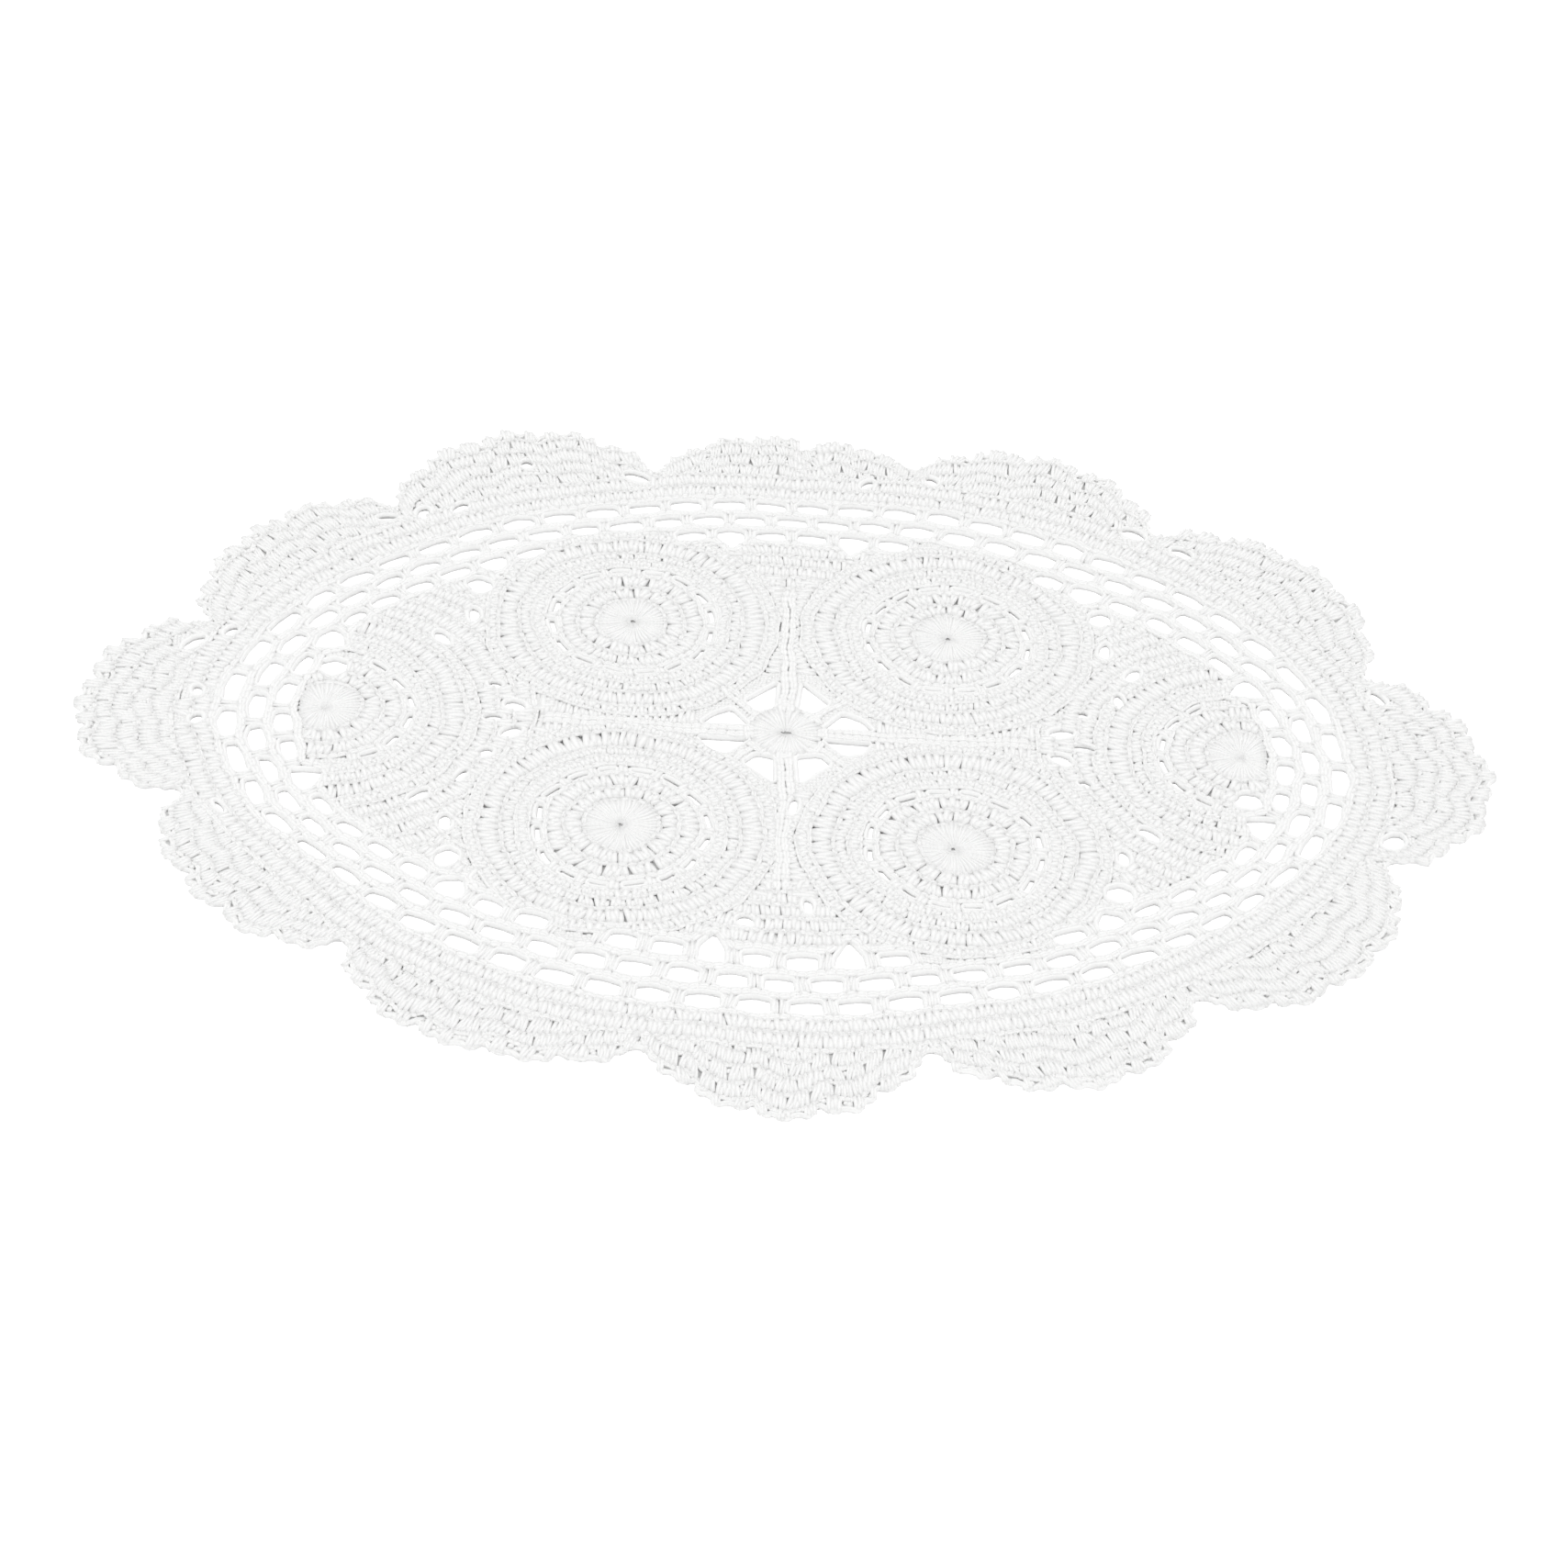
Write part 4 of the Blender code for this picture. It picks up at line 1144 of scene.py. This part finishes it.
def new_group(name, inputs, outputs):
    """A node group with these sockets, and its nodes for what is given and what is made."""
    group = bpy.data.node_groups.new(name, "ShaderNodeTree")
    for way, names in (("INPUT", inputs), ("OUTPUT", outputs)):
        for socket in names:
            group.interface.new_socket(socket, in_out=way, socket_type="NodeSocketFloat")
    return group, group.nodes.new("NodeGroupInput"), group.nodes.new("NodeGroupOutput")


def fibre_group():
    """Loose fibre: fine noise on Object coordinates, as a height and as a change of colour."""
    group, given, made = new_group("cotton_fibre", ("Fine", "Clouds"), ("Height", "Shade"))
    nodes, links = group.nodes, group.links
    place = nodes.new("ShaderNodeTexCoord")
    fine, clouds = nodes.new("ShaderNodeTexNoise"), nodes.new("ShaderNodeTexNoise")
    set_inputs(fine, {"Detail": 3.0, "Roughness": 0.65})
    set_inputs(clouds, {"Detail": 2.0})
    for noise, scale, result in ((fine, "Fine", "Height"), (clouds, "Clouds", "Shade")):
        links.new(place.outputs["Object"], noise.inputs["Vector"])
        links.new(given.outputs[scale], noise.inputs["Scale"])
        links.new(noise.outputs["Fac"], made.inputs[result])
    return group


def ply_group():
    """The twist of the yarn's plies: a sine of the way round and the way along the strand."""
    group, given, made = new_group("ply_twist", ("Plies", "Turns for each mm"), ("Height",))
    nodes, links = group.nodes, group.links
    uv = nodes.new("ShaderNodeUVMap")
    uv.uv_map = "yarn"
    apart = nodes.new("ShaderNodeSeparateXYZ")
    links.new(uv.outputs["UV"], apart.inputs["Vector"])

    def maths(kind, first, second):
        node = nodes.new("ShaderNodeMath")
        node.operation = kind
        for socket, value in zip(node.inputs, (first, second)):
            if isinstance(value, (int, float)):
                socket.default_value = value
            else:
                links.new(value, socket)
        return node.outputs["Value"]

    round_it = maths("MULTIPLY", apart.outputs["X"], given.outputs["Plies"])
    along = maths("MULTIPLY", apart.outputs["Y"], given.outputs["Turns for each mm"])
    turns = maths("ADD", round_it, along)
    wave = maths("SINE", maths("MULTIPLY", turns, 2 * math.pi), 0.0)
    links.new(maths("MULTIPLY_ADD", wave, 0.5), made.inputs["Height"])
    return group


def cotton(name, dark, light, fibre, ply=None):
    """Matt white cotton: a light sheen, faint changes of white, fibre and ply as fine relief."""
    material = bpy.data.materials.new(name)
    material.use_nodes = True
    nodes, links = material.node_tree.nodes, material.node_tree.links
    shader = nodes["Principled BSDF"]
    set_inputs(shader, {"Roughness": 0.92, "Specular IOR Level": 0.25})
    set_inputs(shader, {"Sheen Weight": 0.1, "Sheen Roughness": 0.5})
    loose = nodes.new("ShaderNodeGroup")
    loose.node_tree = fibre
    set_inputs(loose, {"Fine": 2600.0, "Clouds": 320.0})
    shade = nodes.new("ShaderNodeMix")
    shade.data_type = "RGBA"
    shade.inputs["A"].default_value = (dark, dark, dark * 0.995, 1.0)
    shade.inputs["B"].default_value = (light, light, light * 0.995, 1.0)
    links.new(loose.outputs["Shade"], shade.inputs["Factor"])
    links.new(shade.outputs["Result"], shader.inputs["Base Color"])
    bump = nodes.new("ShaderNodeBump")
    set_inputs(bump, {"Strength": 0.5, "Distance": 0.0001})
    links.new(loose.outputs["Height"], bump.inputs["Height"])
    if ply is not None:
        twist = nodes.new("ShaderNodeGroup")
        twist.node_tree = ply
        set_inputs(twist, {"Plies": 3.0, "Turns for each mm": 0.9})
        ridges = nodes.new("ShaderNodeBump")
        set_inputs(ridges, {"Strength": 0.25, "Distance": 0.00015})
        links.new(twist.outputs["Height"], ridges.inputs["Height"])
        links.new(ridges.outputs["Normal"], bump.inputs["Normal"])
    links.new(bump.outputs["Normal"], shader.inputs["Normal"])
    return material


# ---------------------------------------------------------------- the studio
def studio():
    """A white floor that glows a little, and soft light from above and from the viewer's side."""
    world = bpy.data.worlds.new("studio")
    bpy.context.scene.world = world
    world.use_nodes = True
    white = (1.0, 1.0, 1.0, 1.0)
    set_inputs(world.node_tree.nodes["Background"], {"Color": white, "Strength": SKY_STRENGTH})
    corners = FLOOR_HALF * np.array([(-1, -1, 0), (1, -1, 0), (1, 1, 0), (-1, 1, 0)])
    floor = mesh_piece("floor", corners, np.array([[0, 1, 2, 3]]), smooth=False)
    pale = bpy.data.materials.new("pale_floor")
    pale.use_nodes = True
    nodes, links = pale.node_tree.nodes, pale.node_tree.links
    shader = nodes["Principled BSDF"]
    set_inputs(shader, {"Base Color": (0.95, 0.95, 0.95, 1.0), "Roughness": 1.0})
    set_inputs(shader, {"Emission Color": white})
    seen = nodes.new("ShaderNodeLightPath")
    links.new(seen.outputs["Is Camera Ray"], shader.inputs["Emission Strength"])
    floor.data.materials.append(pale)
    light = bpy.data.lights.new("soft_key", "AREA")
    light.shape = "DISK"
    light.size = LAMP_SIZE
    light.energy = LAMP_POWER
    key = bpy.data.objects.new("soft_key", light)
    key.matrix_world = shining_at_middle(LAMP_PLACE)
    bpy.context.scene.collection.objects.link(key)
    bpy.context.scene.view_settings.view_transform = "Standard"
    bpy.context.scene.view_settings.look = "None"


def standing(right, up, back, place):
    """The matrix of an object at a place, with its three axes along these ways."""
    matrix = np.eye(4)
    matrix[:3] = np.column_stack([right, up, back, place])
    return Matrix(matrix.tolist())


def shining_at_middle(place):
    """The matrix of a lamp at a place that shines at the middle of the doily."""
    back = unit(np.array(place))
    right = unit(np.cross([0.0, 0.0, 1.0], back))
    return standing(right, np.cross(back, right), back, place)


def camera():
    """The camera, as it stood to the doily in the photograph."""
    data = bpy.data.cameras.new("camera")
    data.sensor_width = SENSOR
    data.lens = LENS
    data.clip_start = 0.01
    forward = unit(np.array(CAMERA_WAY))
    right = unit(np.cross(forward, [0.0, 0.0, 1.0]))
    up = np.cross(right, forward)
    cosine, sine = CAMERA_TURN
    right, up = cosine * right + sine * up, -sine * right + cosine * up
    viewer = bpy.data.objects.new("camera", data)
    viewer.matrix_world = standing(right, up, -forward, CAMERA_PLACE)
    bpy.context.scene.collection.objects.link(viewer)
    bpy.context.scene.camera = viewer


# ---------------------------------------------------------------- making it
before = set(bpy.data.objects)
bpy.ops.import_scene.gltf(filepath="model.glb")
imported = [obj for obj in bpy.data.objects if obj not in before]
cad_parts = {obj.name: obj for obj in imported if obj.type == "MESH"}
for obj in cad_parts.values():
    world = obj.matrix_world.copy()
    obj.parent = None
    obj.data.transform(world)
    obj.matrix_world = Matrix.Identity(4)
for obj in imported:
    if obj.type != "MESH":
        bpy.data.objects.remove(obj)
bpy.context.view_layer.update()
camera()
studio()

sheet = Sheet(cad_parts["doily"])
fibre, ply = fibre_group(), ply_group()
yarn = cotton("cotton_yarn", 0.92, 0.99, fibre, ply)
# painted shade: a darker copy of the cotton for the ground's upper side, where the shade between the
# stitches falls
painted_shade = cotton("painted_shade_cotton", 0.62, 0.76, fibre)
under = cotton("underside_cotton", 0.86, 0.96, fibre)
ground = thread_ground(sheet, painted_shade, under)

work = {}
for name, middle in ROSETTES.items():
    work[name + "_rosette"] = rosette(sheet, middle)
for name, middle in HALF_ROSETTES.items():
    work[name + "_half_rosette"] = rosette(sheet, middle, half_rosette_part)
star_wheel, star_arms = star()
work["star"] = [("wheel", star_wheel), ("loops", sheet.over_cloth(star_arms))]
work["fillings"] = sheet.worked(*fillings())
work["net"] = [("loops", net_chains()), ("posts", net_posts())]
work["border_rounds"] = sheet.worked(*border_rounds())
for half, numbers in HALVES.items():
    work[half + "_fans"] = sheet.worked(*joined(fan(number) for number in numbers))
work["knobbed_edge"] = [("loops", np.concatenate([knobbed_edge(n) for n in range(PLACES)]))]
every_row = np.concatenate([rows for parts in work.values() for _, rows in parts])
work["darning"] = [("knots", darning(sheet, every_row))]

makers = {
    "wheel": wheel_strands,
    "posts": post_strands,
    "loops": loop_strands,
    "knots": knot_strands,
}
for seed, (name, parts) in enumerate(work.items()):
    strands = [makers[kind](uneven(rows, 10 * seed + k)) for k, (kind, rows) in enumerate(parts)]
    stitched_piece(name, strands, yarn)
stitched_piece("edging", [edging(sheet)], yarn)
